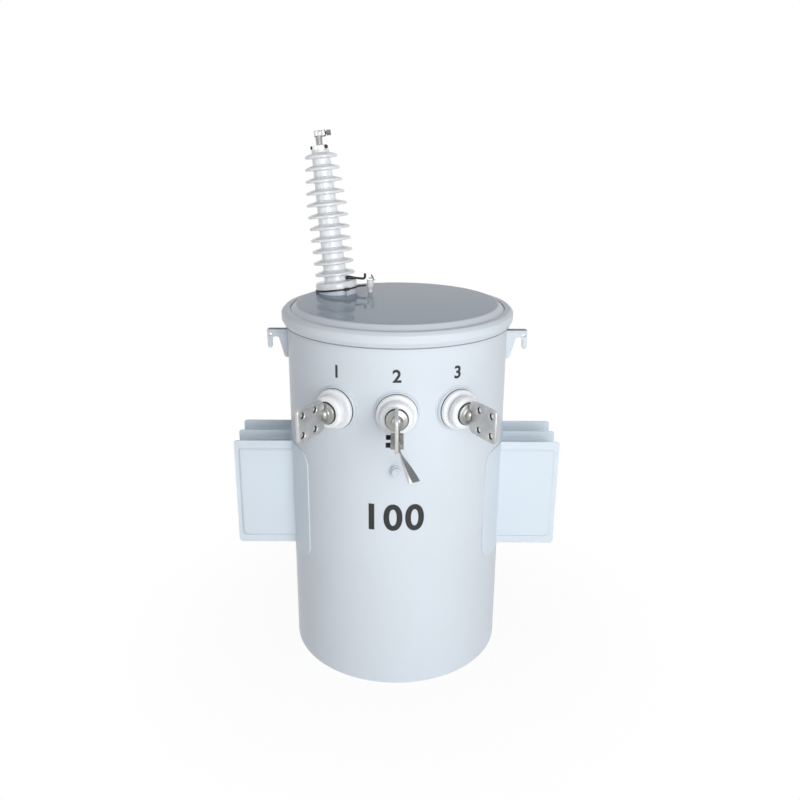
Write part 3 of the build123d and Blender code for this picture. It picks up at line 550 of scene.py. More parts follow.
def plate(outline, holes, thickness, edge):
    """Flat plate with softened edges: a filled flat curve, lifted by half its thickness to both sides."""
    curve = bpy.data.curves.new("plate", "CURVE")
    curve.dimensions, curve.fill_mode = "2D", "BOTH"
    curve.extrude, curve.bevel_depth, curve.bevel_resolution = thickness / 2 - edge, edge, 2
    curve.offset = -edge
    for line in (outline, *holes):
        spline = curve.splines.new("POLY")
        spline.points.add(len(line) - 1)
        flat = np.column_stack([line, np.zeros(len(line)), np.ones(len(line))])
        spline.points.foreach_set("co", flat.ravel())
        spline.use_cyclic_u = True
    return as_surface(curve)


def as_surface(curve):
    """Points and faces of a flat curve or of text, which are removed."""
    shape = new_object("shape", curve)
    graph = bpy.context.evaluated_depsgraph_get()
    mesh = bpy.data.meshes.new_from_object(shape.evaluated_get(graph))
    bpy.data.objects.remove(shape)
    bpy.data.curves.remove(curve)
    return taken_out(mesh)


def taken_out(mesh):
    """Points and faces of a mesh, which is removed."""
    points = np.zeros(len(mesh.vertices) * 3)
    mesh.vertices.foreach_get("co", points)
    faces = [list(face.vertices) for face in mesh.polygons]
    bpy.data.meshes.remove(mesh)
    return points.reshape(-1, 3), faces


def to_wall(surface, azimuth):
    """Points short of the tank's wall are moved straight out to it: out = root of (R2 - side2)."""
    points, faces = surface
    out = outward(azimuth)
    side = np.clip(points @ (cos(azimuth), sin(azimuth), 0.0), -TANK_RADIUS, TANK_RADIUS)
    wall = np.sqrt(TANK_RADIUS**2 - side**2) - BITE
    return points + np.maximum(0, wall - points @ out)[:, None] * out, faces


def boss_bead(azimuth, level, diameter, width):
    """Weld bead round a boss, along the line where a cylinder just wider than it meets the wall."""
    radius = diameter / 2 + BEAD_OFF
    a = np.linspace(0, 2 * pi, int(2 * pi * radius / (0.25 * width)), endpoint=False)
    side = radius * np.cos(a)
    local = np.stack([side, radius * np.sin(a), np.sqrt(TANK_RADIUS**2 - side**2)], -1)
    path, _ = set_in((local, None), facing(azimuth, level))
    return bead(path, width, outward(azimuth), closed=True)


# ------------------------------------------------------------------ pieces
def new_object(name, data):
    """An object in the scene."""
    made = bpy.data.objects.new(name, data)
    bpy.context.scene.collection.objects.link(made)
    return made


def make_piece(name, surfaces, finish, *nodes, slot=None, edge=0.0):
    """One object from surfaces: doubles merged, faces turned outward, smooth but for sharp edges.

    It stands for the packed parts named, which it hides.
    A value for edge adds a live Bevel of that width. The slot argument is not used.
    """
    points, faces, count = [], [], 0
    for more_points, more_faces in surfaces:
        points.append(more_points)
        if isinstance(more_faces, np.ndarray):
            faces += (more_faces + count).tolist()
        else:
            faces += [[i + count for i in face] for face in more_faces]
        count += len(more_points)
    mesh = bpy.data.meshes.new(name)
    mesh.from_pydata(np.concatenate(points).tolist(), [], faces)
    form = bmesh.new()
    form.from_mesh(mesh)
    bmesh.ops.remove_doubles(form, verts=form.verts, dist=MERGE)
    bmesh.ops.recalc_face_normals(form, faces=form.faces)
    form.to_mesh(mesh)
    form.free()
    mesh.polygons.foreach_set("use_smooth", np.ones(len(mesh.polygons), bool))
    piece = new_object(name, mesh)
    mesh.materials.append(finish_of(finish))
    if edge:
        add_bevel(piece, edge, SHARP)
    else:
        mesh.set_sharp_from_angle(angle=radians(SHARP))
    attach(piece, BODY)
    slot = slot or FINISHES[finish][0]
    if nodes:
        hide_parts(*nodes)
    return piece


def add_bevel(piece, width, sharp):
    """Softens a piece's sharp edges."""
    bevel = piece.modifiers.new("edges", "BEVEL")
    bevel.width, bevel.segments, bevel.limit_method = width, 2, "ANGLE"
    bevel.angle_limit, bevel.harden_normals = radians(sharp), True


# ------------------------------------------------------------------ finishes
class Nodes:
    """The node tree of a new material or world, with its shader and its coordinates."""

    def __init__(self, owner, shader="Principled BSDF", coordinates="Object"):
        owner.use_nodes = True
        self.owner, self.tree = owner, owner.node_tree
        self.shader = self.tree.nodes[shader]
        self.place = self.node("ShaderNodeTexCoord")[coordinates]

    def give(self, node, inputs):
        """Sets a node's inputs by name or number, each to a value or to another node's output."""
        for key, value in inputs.items():
            socket = node.inputs[key if isinstance(key, int) else key.replace("_", " ")]
            if isinstance(value, bpy.types.NodeSocket):
                self.tree.links.new(value, socket)
            else:
                socket.default_value = value

    def node(self, kind, numbered=None, **values):
        """The outputs of a new node, given its own settings and its inputs."""
        made = self.tree.nodes.new(kind)
        for key in [key for key in values if hasattr(made, key)]:
            setattr(made, key, values.pop(key))
        self.give(made, {**values, **(numbered or {})})
        return made.outputs

    def finish(self, **values):
        """Sets the shader's inputs."""
        self.give(self.shader, values)

    def noise(self, scale, detail=2.0, vector=None):
        """Soft noise from 0 to 1."""
        return self.node("ShaderNodeTexNoise", Vector=vector or self.place, Scale=scale, Detail=detail)["Fac"]

    def spread(self, value, low_end, high_end, start=0.3, stop=0.7):
        """A value from start to stop, brought to another span."""
        ends = {"From_Min": start, "From_Max": stop, "To_Min": low_end, "To_Max": high_end}
        return self.node("ShaderNodeMapRange", Value=value, **ends)["Result"]

    def math(self, operation, first, second):
        """Two values worked into one."""
        return self.node("ShaderNodeMath", {0: first, 1: second}, operation=operation)[0]

    def tinted(self, value, first, second):
        """A colour between two, by a value from 0 to 1."""
        first, second = (c if isinstance(c, bpy.types.NodeSocket) else (*c, 1) for c in (first, second))
        return self.node("ShaderNodeMix", {0: value, 6: first, 7: second}, data_type="RGBA")[2]

    def bump(self, height, strength, distance, **under):
        """A bump on the shader's normal, over an earlier one."""
        made = self.node("ShaderNodeBump", Height=height, Strength=strength, Distance=distance, **under)
        self.finish(Normal=made["Normal"])
        return made["Normal"]

    def uneven(self, socket, value, middle, down, up):
        """A shader's input that a noise moves a little below and above its middle."""
        self.finish(**{socket: self.spread(value, middle * down, middle * up)})

    def paint(self, value, base, change):
        """The shader's colour, a little darker and lighter than the base by a value."""
        darker, lighter = base * (1 - change), np.minimum(base * (1 + change), 1)
        self.finish(Base_Color=self.tinted(self.spread(value, 0, 1), darker, lighter))


def enamel(made, base, gloss, coat, painted_shade_top=False):
    """Sprayed enamel: faint clouds in colour and gloss, orange peel, and the sheet's slow waves.

    On the cover the level top takes the darker cover colour, painted shade for the dim surroundings its gloss
    mirrors, and the rolled shoulder keeps the base.
    """
    made.finish(Specular_IOR_Level=0.1, Coat_Weight=coat)
    made.paint(made.noise(5.0, 1.0), base, 0.012)
    made.uneven("Coat_Roughness", made.noise(12.0, 1.0), gloss, 0.92, 1.08)
    if painted_shade_top:
        # Painted shade: the cover's level top is darkened to the cover colour by height.
        level = made.node("ShaderNodeSeparateXYZ", {0: made.place})["Z"]
        crown = made.spread(level, 0, 1, COVER_TOP - 0.0035, COVER_TOP - HAIR)
        painted = made.shader.inputs["Base Color"].links[0].from_socket
        made.finish(Base_Color=made.tinted(crown, painted, bpy.context.scene.transformer_finish.cover))
    waves = made.bump(made.noise(7.0, 1.0), 0.25, 0.0010)
    made.bump(made.noise(420.0, 2.0), 0.12, 0.0003, Normal=waves)


def glaze(made, base):
    """Fired porcelain: pale glaze with cloudy tint, rare specks and pooled, slightly uneven gloss."""
    made.finish(Coat_Weight=0.6, Coat_Roughness=0.05)
    cells = made.node("ShaderNodeTexVoronoi", Vector=made.place, Scale=260.0)["Distance"]
    rare = made.spread(made.noise(55.0), 0, 0.35, 0.56, 0.66)
    specks = made.math("MULTIPLY", made.spread(cells, 1, 0, 0.05, 0.11), rare)
    cloudy = made.tinted(made.spread(made.noise(14.0, 3.0), 0, 1), base * 0.95, base * 1.04)
    made.finish(Base_Color=made.tinted(specks, cloudy, base * 0.55))
    made.finish(Roughness=made.spread(made.noise(40.0), 0.22, 0.34))
    made.bump(made.noise(60.0, 2.0), 0.18, 0.0006)


def brushed(made, base, rough, lines):
    """Brushed or drawn metal: fine upright scratches over faint blotches."""
    made.finish(Metallic=1.0)
    made.paint(made.noise(45.0, 4.0), base, 0.10)
    stretched = made.node("ShaderNodeMapping", Vector=made.place, Scale=(1, 1, 0.06))["Vector"]
    scratches = made.noise(lines, 3.0, stretched)
    made.uneven("Roughness", scratches, rough, 0.75, 1.3)
    dents = made.bump(made.noise(90.0, 2.0), 0.15, 0.0004)
    made.bump(scratches, 0.12, 0.0002, Normal=dents)


def plated(made, base, rough):
    """Plated steel: mottled zinc with a fine grain."""
    made.finish(Metallic=1.0)
    made.paint(made.noise(130.0, 4.0), base, 0.14)
    made.uneven("Roughness", made.noise(210.0, 2.0), rough, 0.8, 1.25)
    made.bump(made.noise(600.0, 2.0), 0.15, 0.0002)


def matt(made, base, rough, grain, relief):
    """Dull finish, such as black steel, rubber or paint, with a grain of its own size."""
    made.paint(made.noise(grain / 4, 3.0), base, 0.15)
    made.uneven("Roughness", made.noise(grain / 2, 2.0), rough, 0.85, 1.15)
    made.bump(made.noise(grain, 2.0), 0.3, relief)


def layered(made, base, rough, metallic, spacing, bands):
    """Wound strip or paper: thin layers as waves, with their edges in the relief."""
    made.finish(Metallic=metallic)
    layers = {"Vector": made.place, "Scale": 1 / spacing, "Distortion": 0.6, "bands_direction": bands}
    wave = made.node("ShaderNodeTexWave", **layers)["Fac"]
    made.paint(made.noise(35.0, 3.0), base, 0.2)
    made.uneven("Roughness", made.noise(80.0), rough, 0.8, 1.2)
    made.bump(wave, 0.3, 0.0004)


FINISHES = {  # kind: slot, colour, and how it is made with its own values
    "enamel": ("tank_paint", "enamel", enamel, 0.10, 0.30),
    # The cover finish paints the level top darker as shade.
    "cover": ("tank_paint", "enamel", enamel, 0.05, 0.45, True),
    "radiator": ("radiator_paint", "radiator", enamel, 0.16, 0.25),
    "porcelain": ("porcelain", "porcelain", glaze),
    "tinned": ("tinned_metal", "tinned", brushed, 0.38, 420.0),
    "strap": ("strap_metal", "strap", brushed, 0.42, 700.0),
    "bright": ("tinned_metal", "bright", brushed, 0.30, 600.0),
    "hub": ("tinned_metal", "hub", brushed, 0.34, 420.0),
    "zinc": ("bolt_steel", "zinc", plated, 0.34),
    "dark": ("bolt_steel", "dark", plated, 0.34),
    "black": ("black_steel", "black", matt, 0.42, 500.0, 0.0002),
    "sealant": ("gasket_rubber", "sealant", matt, 0.70, 900.0, 0.0002),
    "rubber": ("gasket_rubber", "rubber", matt, 0.75, 900.0, 0.0002),
    "marking": (None, "marking", matt, 0.40, 700.0, 0.0001),
    "steel": ("core_steel", "steel", layered, 0.45, 0.8, 0.004, "X"),
    "paper": ("winding_insulation", "paper", layered, 0.80, 0.0, 0.012, "Z"),
}


def finish_of(kind):
    """A finish by its kind, made when it is first asked for."""
    _, base, make, *values = FINISHES[kind]
    material = bpy.data.materials.get("finish_" + kind)
    if not material:
        material = bpy.data.materials.new("finish_" + kind)
        make(Nodes(material), np.array(getattr(bpy.context.scene.transformer_finish, base)), *values)
    return material


# ------------------------------------------------------------------ tank, cover and clamp band
class TRANSFORMER_OT_tank(Operator):
    """Make the tank's shell with its bottom plate, and its rolled rim"""

    bl_idname = "transformer.tank"
    bl_label = "Tank"

    def execute(self, context):
        tank = context.scene.transformer_tank
        inside = TANK_RADIUS - tank.wall
        shell = [(0, 0, 0), (TANK_RADIUS, 0, tank.foot_round), (TANK_RADIUS, RIM_FOOT, 0)]
        shell += [(inside, RIM_FOOT, 0), (inside, tank.bottom, 0), (0, tank.bottom, 0)]
        seam = upright_bead(0, TANK_RADIUS, 0.004, RIM_FOOT - 0.003, WELD["seam"], Y)
        shell = spun(*shell, segments=ALL_ROUND)
        make_piece("tank_shell", [shell, seam], "enamel", "tank_wall", "tank_bottom")
        rim = oblong(inside, RIM_RADIUS, RIM_FOOT, RIM_TOP, 0.0005, tank.rim_round)
        make_piece("rolled_rim", [turned(rim, ALL_ROUND, True)], "enamel", "tank_rim")
        return {"FINISHED"}


class TRANSFORMER_OT_cover(Operator):
    """Make the cover with its rolled shoulder, and the gasket under it"""

    bl_idname = "transformer.cover"
    bl_label = "Cover"

    def execute(self, context):
        tank = context.scene.transformer_tank
        sheet, flange_top = tank.cover_sheet, FLANGE_FOOT + tank.cover_sheet
        foot = RIM_RADIUS - tank.band_lip - 0.001
        crown, under = foot - tank.cover_shoulder, COVER_TOP - sheet
        outline = [(0, under, 0), (crown - sheet, under, 0.006), (foot - sheet, FLANGE_FOOT, 0.004)]
        outline += [(COVER_RADIUS, FLANGE_FOOT, 0.001), (COVER_RADIUS, flange_top, 0.001)]
        outline += [(foot, flange_top, 0.003), (crown, COVER_TOP, tank.cover_round), (0, COVER_TOP, 0)]
        make_piece("cover", [spun(*outline, segments=ALL_ROUND, steps=10)], "cover", "lid")
        outer, inner = COVER_RADIUS - 0.0005, COVER_RADIUS - tank.gasket_width
        gasket = oblong(inner, outer, RIM_TOP, FLANGE_FOOT, 0.002, 0.003)
        make_piece("cover_gasket", [turned(gasket, SEAL_ROUND, True)], "rubber", "lid_gasket")
        return {"FINISHED"}


class TRANSFORMER_OT_band(Operator):
    """Make the clamp band with its closing lugs and bolt, and the dark seal under it that is partly painted
    shade
    """

    bl_idname = "transformer.band"
    bl_label = "Clamp band"

    def execute(self, context):
        tank = context.scene.transformer_tank
        sheet, shoulder, soft = tank.band_sheet, tank.band_shoulder, tank.band_round
        inner = BAND_RADIUS - tank.band_bulge - sheet
        near, lip, back = TANK_RADIUS + HAIR, inner - tank.band_lip, BAND_RADIUS - sheet
        low_face, high_face = BAND_FOOT + sheet, BAND_TOP - sheet
        foot = BAND_FOOT - tank.band_skirt
        outline = [(near, foot, 0.0010), (inner + 0.001, foot, 0.0025)]
        outline += [(BAND_RADIUS, BAND_FOOT + shoulder, soft), (BAND_RADIUS, BAND_TOP - shoulder, soft)]
        outline += [(inner, BAND_TOP, 0.0045), (lip, BAND_TOP, 0.0011)]
        outline += [(lip, high_face, 0.0011), (inner, high_face, 0.003)]
        outline += [(back, high_face - shoulder, soft - sheet), (back, low_face + shoulder, soft - sheet)]
        outline += [(inner, foot + sheet, 0.0015), (near, foot + sheet, 0.0010)]
        half_split = np.arcsin(tank.band_split / 2 / BAND_RADIUS)
        band = part_turned(rounded(*outline), pi / 2 + half_split, 5 * pi / 2 - half_split, ALL_ROUND + 1)
        make_piece("clamp_band", [band], "enamel", "cover_band")
        # Dark seal ring under the band's foot: partly a seal, partly painted shade for the shadow under the
        # band's rolled lower edge.
        near, far = TANK_RADIUS + 0.0001, inner + 0.0004
        seal_foot, seal_top = foot - tank.band_shade_seal, foot + HAIR
        seal = [(near, seal_foot, 0.0002), (far, seal_foot, 0.0006), (far, seal_top, 0.0002)]
        seal = rounded(*seal, (near, seal_top, 0.0002))
        make_piece("band_shade_seal", [turned(seal, SEAL_ROUND, True)], "sealant")

        lug_start = BAND_RADIUS - sheet - 0.0004
        lug_end = lug_start + tank.band_lug_length
        bolt_y, bolt_z = lug_start + tank.band_lug_length * 0.6, (BAND_FOOT + BAND_TOP) / 2
        outline = oblong(lug_start, lug_end, BAND_FOOT + 0.003, BAND_TOP - 0.003, 0, 0.008)
        lug = plate(outline, [circle(bolt_y, bolt_z, tank.band_bolt + 0.001)], tank.band_lug, 0.0008)
        aside = (tank.band_split + tank.band_lug) / 2
        lugs = [set_in(lug, upright(pi, 0, side * aside)) for side, _ in SIDES]
        make_piece("band_closing_lugs", lugs, "enamel", "cover_band")

        face, centre = tank.band_split / 2 + tank.band_lug, np.array([0, bolt_y, bolt_z])
        to_left, to_right = (place(centre + (side * face, 0, 0), Y, (side, 0, 0)) for side, _ in SIDES)
        flats, disc, seat = tank.band_bolt_flats, tank.band_bolt_flats * 1.12, 0.0012
        shank = thread(tank.band_bolt, 2 * face + 0.0158, 0.0015)
        bolt = fastener(to_left, flats, 0.0058, disc, seat) + fastener(to_right, flats, 0.0078, disc, seat)
        bolt.append(set_in(shank, shifted(to_right, z=-2 * face)))
        make_piece("band_closing_bolt", bolt, "zinc", "band_bolt")
        return {"FINISHED"}


# ------------------------------------------------------------------ lifting lugs
class TRANSFORMER_OT_lugs(Operator):
    """Make the two lifting lugs, each a plate with a tooth and a flat lip, welded to the tank"""

    bl_idname = "transformer.lugs"
    bl_label = "Lifting lugs"

    def execute(self, context):
        lug = context.scene.transformer_lugs
        root, foot = TANK_RADIUS - 0.0015, LUG_FOOT - LUG_TOP
        inner, tip, drop = LUG_END - lug.tooth, lug.tooth / 2 - HAIR, -lug.tooth_drop
        outline = [(root, 0, 0), (LUG_END, 0, 0.002), (LUG_END, drop, tip), (inner, drop, tip)]
        outline += [(inner, -lug.arm, 0.007), (TANK_RADIUS + lug.gusset_top, -lug.arm, 0.007)]
        outline += [(TANK_RADIUS + lug.gusset_foot, foot, 0.007), (root, foot, 0)]
        hole = circle(LUG_END - lug.hole_inset, -lug.hole_drop, lug.hole)
        body = plate(rounded(*outline), [hole], lug.thickness, 0.0012)
        half = lug.lip_width / 2
        lip = plate(oblong(root, LUG_END - 0.002, -half, half, 0, 0.003), [], lug.lip, 0.0009)
        beside, ends = lug.thickness / 2 + 0.001, (LUG_TOP - lug.lip - 0.002, LUG_FOOT + 0.002)
        for side, name in SIDES:
            flat = place((0, 0, LUG_TOP - lug.lip / 2), (side, 0, 0), Z)
            surfaces = [set_in(body, upright(side * pi / 2, LUG_TOP)), set_in(lip, flat)]
            for y in (-beside, beside):
                surfaces.append(upright_bead(side * TANK_RADIUS, y, *ends, WELD["lug"], (side, 0, 0), 0.001))
            make_piece(f"lifting_lug_{name}_plate", surfaces, "enamel", f"lifting_lug_{name}")
        return {"FINISHED"}


# ------------------------------------------------------------------ radiators
def base_sheet(radiator, side):
    """Curved base sheet: rows at levels z, each an arc of the wall as wide as the rounded outline there.

    The half width at z is the sheet's, less what the corner's circle takes away near top and bottom.
    """
    inner = TANK_RADIUS + radiator.sheet_gap
    outer = inner + radiator.sheet
    half_width, (foot, top) = span("radiator_sheet_right", 1)[1], span("radiator_sheet_right", 2)
    corner = radiator.sheet_corner
    bend = corner * (1 - np.cos(np.linspace(0, pi / 2, 14)))
    level = np.concatenate([foot + bend, top - bend[::-1]])
    into = np.clip(corner - np.minimum(level - foot, top - level), 0, None)
    half = half_width - corner + np.sqrt(corner**2 - into**2)
    across = np.linspace(-1, 1, 49)
    rows = []
    for radius, t in ((outer, across), (inner, across[::-1])):
        a = t * np.arcsin(half / outer)[:, None]
        rows.append(np.stack([radius * np.cos(a) * side, radius * np.sin(a), level[:, None] + 0 * a], -1))
    return capped(np.concatenate(rows, 1))


def pressed_fin(radiator, side, fin_y):
    """Pressed fin: half thickness = seam + rise times a smooth step of the way in from the panel's edge.

    The way in is measured to a rounded rectangle, the outer corners follow their circle, and the
    root ends on the base sheet's cylinder: x = root of (R2 - y2).
    """
    sheet_radius = TANK_RADIUS + radiator.sheet_gap + radiator.sheet
    length, height = FIN_END - np.sqrt(sheet_radius**2 - fin_y**2), FIN_TOP - FIN_FOOT
    bevel, end, corner = radiator.bevel, radiator.end_seam, radiator.panel_round
    panel = length - radiator.edge_seam
    foot_seam = np.concatenate([[0, 0.35, 0.7], 0.7 + 0.3 * np.linspace(0, 1, 4)[1:]]) * end
    foot_slope = end + bevel * np.linspace(0, 1, 9)[1:]
    top_slope = height - end - bevel * np.linspace(1, 0, 9)
    middle = np.linspace(end + bevel, height - end - bevel, 34)[1:-1]
    top_seam = height - end * np.linspace(1, 0, 6)[1:]
    z = np.concatenate([foot_seam, foot_slope, middle, top_slope, top_seam])
    slope, edge = panel - bevel * np.linspace(1, 0, 9), length - radiator.edge_seam * np.linspace(1, 0, 6)[1:]
    u = np.concatenate([np.linspace(0, panel - bevel, 16)[:-1], slope, edge])
    z, u = np.meshgrid(z, u, indexing="ij")
    past_x = u - (panel - corner)
    past_z = np.abs(z - height / 2) - (height / 2 - end - corner)
    outside = np.hypot(np.maximum(past_x, 0), np.maximum(past_z, 0))
    way_in = corner - outside - np.minimum(np.maximum(past_x, past_z), 0)
    t = np.clip(way_in / bevel, 0, 1)
    half_thickness = radiator.seam / 2 + (radiator.thickness - radiator.seam) / 2 * t * t * (3 - 2 * t)
    into = np.clip(radiator.corner - np.minimum(z, height - z), 0, radiator.corner)
    cut = radiator.corner - np.sqrt(radiator.corner**2 - into**2)
    faces = []
    for face in (1, -1):
        y = fin_y + face * half_thickness
        start = np.sqrt(sheet_radius**2 - y**2)
        x = start + (FIN_END - cut - start) * u / length
        faces.append(np.stack([side * x, y, FIN_FOOT + z], -1))
    front, back = faces
    return capped(np.concatenate([front, back[:, ::-1]], 1))


class TRANSFORMER_OT_radiators(Operator):
    """Make the two radiators: a curved base sheet and three pressed fins on each side"""

    bl_idname = "transformer.radiators"
    bl_label = "Radiators"

    def execute(self, context):
        radiator = context.scene.transformer_radiator
        sheet_radius = TANK_RADIUS + radiator.sheet_gap + radiator.sheet
        beside, margin = radiator.thickness / 2 + BEAD_OFF, radiator.end_seam + 0.002
        ends = FIN_FOOT + margin, FIN_TOP - margin
        for side, name in SIDES:
            sheet = base_sheet(radiator, side)
            make_piece(f"radiator_base_{name}", [sheet], "radiator", f"radiator_sheet_{name}", edge=0.0007)
            for number in (1, 2, 3):
                fin_y = (number - 2) * radiator.pitch
                surfaces = [pressed_fin(radiator, side, fin_y)]
                for y in (fin_y - beside, fin_y + beside):
                    x = side * np.sqrt(sheet_radius**2 - y**2)
                    surfaces.append(upright_bead(x, y, *ends, WELD["fin"], (side, 0, 0)))
                fin = f"{name}_{number}"
                make_piece("pressed_fin_" + fin, surfaces, "radiator", "radiator_fin_" + fin)
        return {"FINISHED"}


# ------------------------------------------------------------------ high-voltage bushing
class HighVoltage:
    """Levels, radii and outlines of the leaning bushing, and the frames that its pieces are set in."""

    def __init__(self, bushing):
        lean = unit((bushing.x, bushing.y, 0))
        self.axis = lean * sin(bushing.tilt) + np.array([0, 0, cos(bushing.tilt)])
        self.back = unit(np.cross(self.axis, X))
        self.right = np.cross(self.back, self.axis)
        self.foot = np.array([bushing.x, bushing.y, COVER_TOP])
        self.ring_foot = bushing.neck_height + bushing.gasket
        self.base_top = self.ring_foot + bushing.base_height
        self.sheds = [self.ring_foot + bushing.first + k * bushing.pitch for k in range(bushing.sheds)]
        self.top = self.sheds[-1] + bushing.shed_rise + bushing.head
        self.cap_top = self.top + bushing.cap_height
        self.stud_top = self.cap_top + bushing.stud_length
        self.settings = bushing

    def at(self, level, right=0.0, back=0.0):
        """Frame across the axis at a level: x to the right, y rearward, z along the axis."""
        origin = self.foot + self.axis * level + self.right * right + self.back * back
        return place(origin, self.right, self.axis)

    def core(self, level):
        """Radius of the tapering core: straight from foot to top."""
        part = (level - self.ring_foot) / (self.top - self.ring_foot)
        return (self.settings.core_foot + (self.settings.core_top - self.settings.core_foot) * part) / 2

    def shed(self, number):
        """Radius of a shed; the last ones grow smaller."""
        grown = max(0, number - (self.settings.sheds - 1 - self.settings.tapered)) / self.settings.tapered
        return (self.settings.shed + (self.settings.shed_top - self.settings.shed) * grown) / 2

    def onto_cover(self, surface):
        """Points under the cover's face are slid up to it along the axis."""
        points, faces = surface
        lack = np.maximum(0, COVER_TOP - points[:, 2]) / self.axis[2]
        return points + lack[:, None] * self.axis, faces

    def porcelain(self):
        """Base, core and sheds turned: each shed is a convex slope, a blunt edge and a flat under side."""
        base, edge, core, top = self.settings.base / 2, self.settings.shed_edge, self.core, self.base_top
        corners = [(0, self.ring_foot, 0), (base, self.ring_foot, 0.002)]
        corners += [(base, top, self.settings.base_round), (core(top), top, 0.004)]
        for number, level in enumerate(self.sheds):
            tip, under, slope = self.shed(number), level - edge - 0.0012, level + self.settings.shed_rise
            corners += [(core(under), under, 0.0025), (tip, level - edge, 0.0018)]
            corners += [(tip, level + edge * 0.2, 0.0035)]
            corners += [(tip * 0.6 + core(level) * 0.4, level + edge * 0.95, 0.010)]
            corners += [(core(slope), slope, 0.002)]
        corners += [(core(self.top), self.top, 0), (0, self.top, 0)]
        return spun(*corners, segments=160, steps=4)

    def ring_edge(self, turns):
        """The clamp ring's outer edge by angle: the farthest of the plain ring and its ear circles.

        An ear is seen from the axis at d cos(a) + root of (r2 - d2 sin2(a)), a from its middle.
        """
        a = np.linspace(0, 2 * pi, 360, endpoint=False)
        edge = np.full_like(a, self.settings.ring / 2)
        d, r = self.settings.ear_distance, self.settings.ear
        for turn in turns:
            off = np.arccos(np.clip(np.cos(a - turn), -1, 1))
            inside = r**2 - (d * np.sin(off)) ** 2
            ear = d * np.cos(off) + np.sqrt(np.maximum(inside, 0))
            edge = np.where((inside > 0) & (off < 1), np.maximum(edge, ear), edge)
        return edge


class TRANSFORMER_OT_bushing(Operator):
    """Make the high-voltage bushing: neck, gasket and porcelain with its sheds"""

    bl_idname = "transformer.bushing"
    bl_label = "High-voltage bushing"

    def execute(self, context):
        settings = context.scene.transformer_bushing
        hv = HighVoltage(settings)
        radius, height, below, foot = settings.neck / 2, settings.neck_height, -0.02, hv.at(0)
        neck = spun((0, below, 0), (radius, below, 0), (radius, height, 0.001), (0, height, 0))
        line = np.column_stack([ring_section(radius, 260), np.full(260, below)])
        line, _ = hv.onto_cover(set_in((line, None), foot))
        surfaces = [hv.onto_cover(set_in(neck, foot)), bead(line, WELD["neck"], Z, True)]
        make_piece("bushing_neck", surfaces, "enamel", "hv_neck")
        gasket = oblong(radius - 0.014, radius - 0.001, height, hv.ring_foot, 0.0005, 0.0012)
        make_piece("bushing_gasket", [set_in(turned(gasket, 96, True), foot)], "rubber", "hv_gasket")
        make_piece("shedded_insulator", [set_in(hv.porcelain(), foot)], "porcelain", "hv_bushing")
        return {"FINISHED"}


class TRANSFORMER_OT_clamp_ring(Operator):
    """Make the clamp ring under the porcelain with its arm, studs and nuts"""

    bl_idname = "transformer.clamp_ring"
    bl_label = "Clamp ring"

    def execute(self, context):
        settings = context.scene.transformer_bushing
        hv = HighVoltage(settings)
        high, soft = settings.ring_thickness + settings.ring_lip, 0.0008
        turns = -settings.ear_turn, settings.ear_turn
        outer, inner = hv.ring_edge(turns), settings.base / 2 + HAIR
        radii = [inner, outer - soft, outer, outer, outer - soft, inner]
        ring = polar(radii, [0, 0, soft, high - soft, high, high], closed=True)
        half, start, end = 0.006, settings.ring / 2 - 0.002, settings.gap - settings.post / 2 - HAIR
        arm = plate(oblong(start, end, -half, half, 0, 0), [], high, soft)
        level, seat = hv.ring_foot - settings.ring_lip, hv.ring_foot + settings.ring_thickness
        surfaces = [set_in(ring, hv.at(level)), set_in(arm, hv.at(level + high / 2))]
        make_piece("bushing_clamp_ring", surfaces, "black", "hv_clamp_ring")

        studs, nuts = [], []
        for turn in turns:
            aside = settings.ear_distance * cos(turn), settings.ear_distance * sin(turn)
            studs.append(hv.onto_cover(set_in(thread(0.0062, seat + 0.0222, 0.001), hv.at(-0.020, *aside))))
            nuts.append(set_in(hexagon(0.010, 0.0016), hv.at(seat + HAIR, *aside)))
            nuts.append(set_in(washer(0.0125, 0.0008), hv.at(level - 0.0008, *aside)))
        make_piece("clamp_ring_studs", studs, "enamel")
        make_piece("clamp_ring_nuts", nuts, "black")
        return {"FINISHED"}


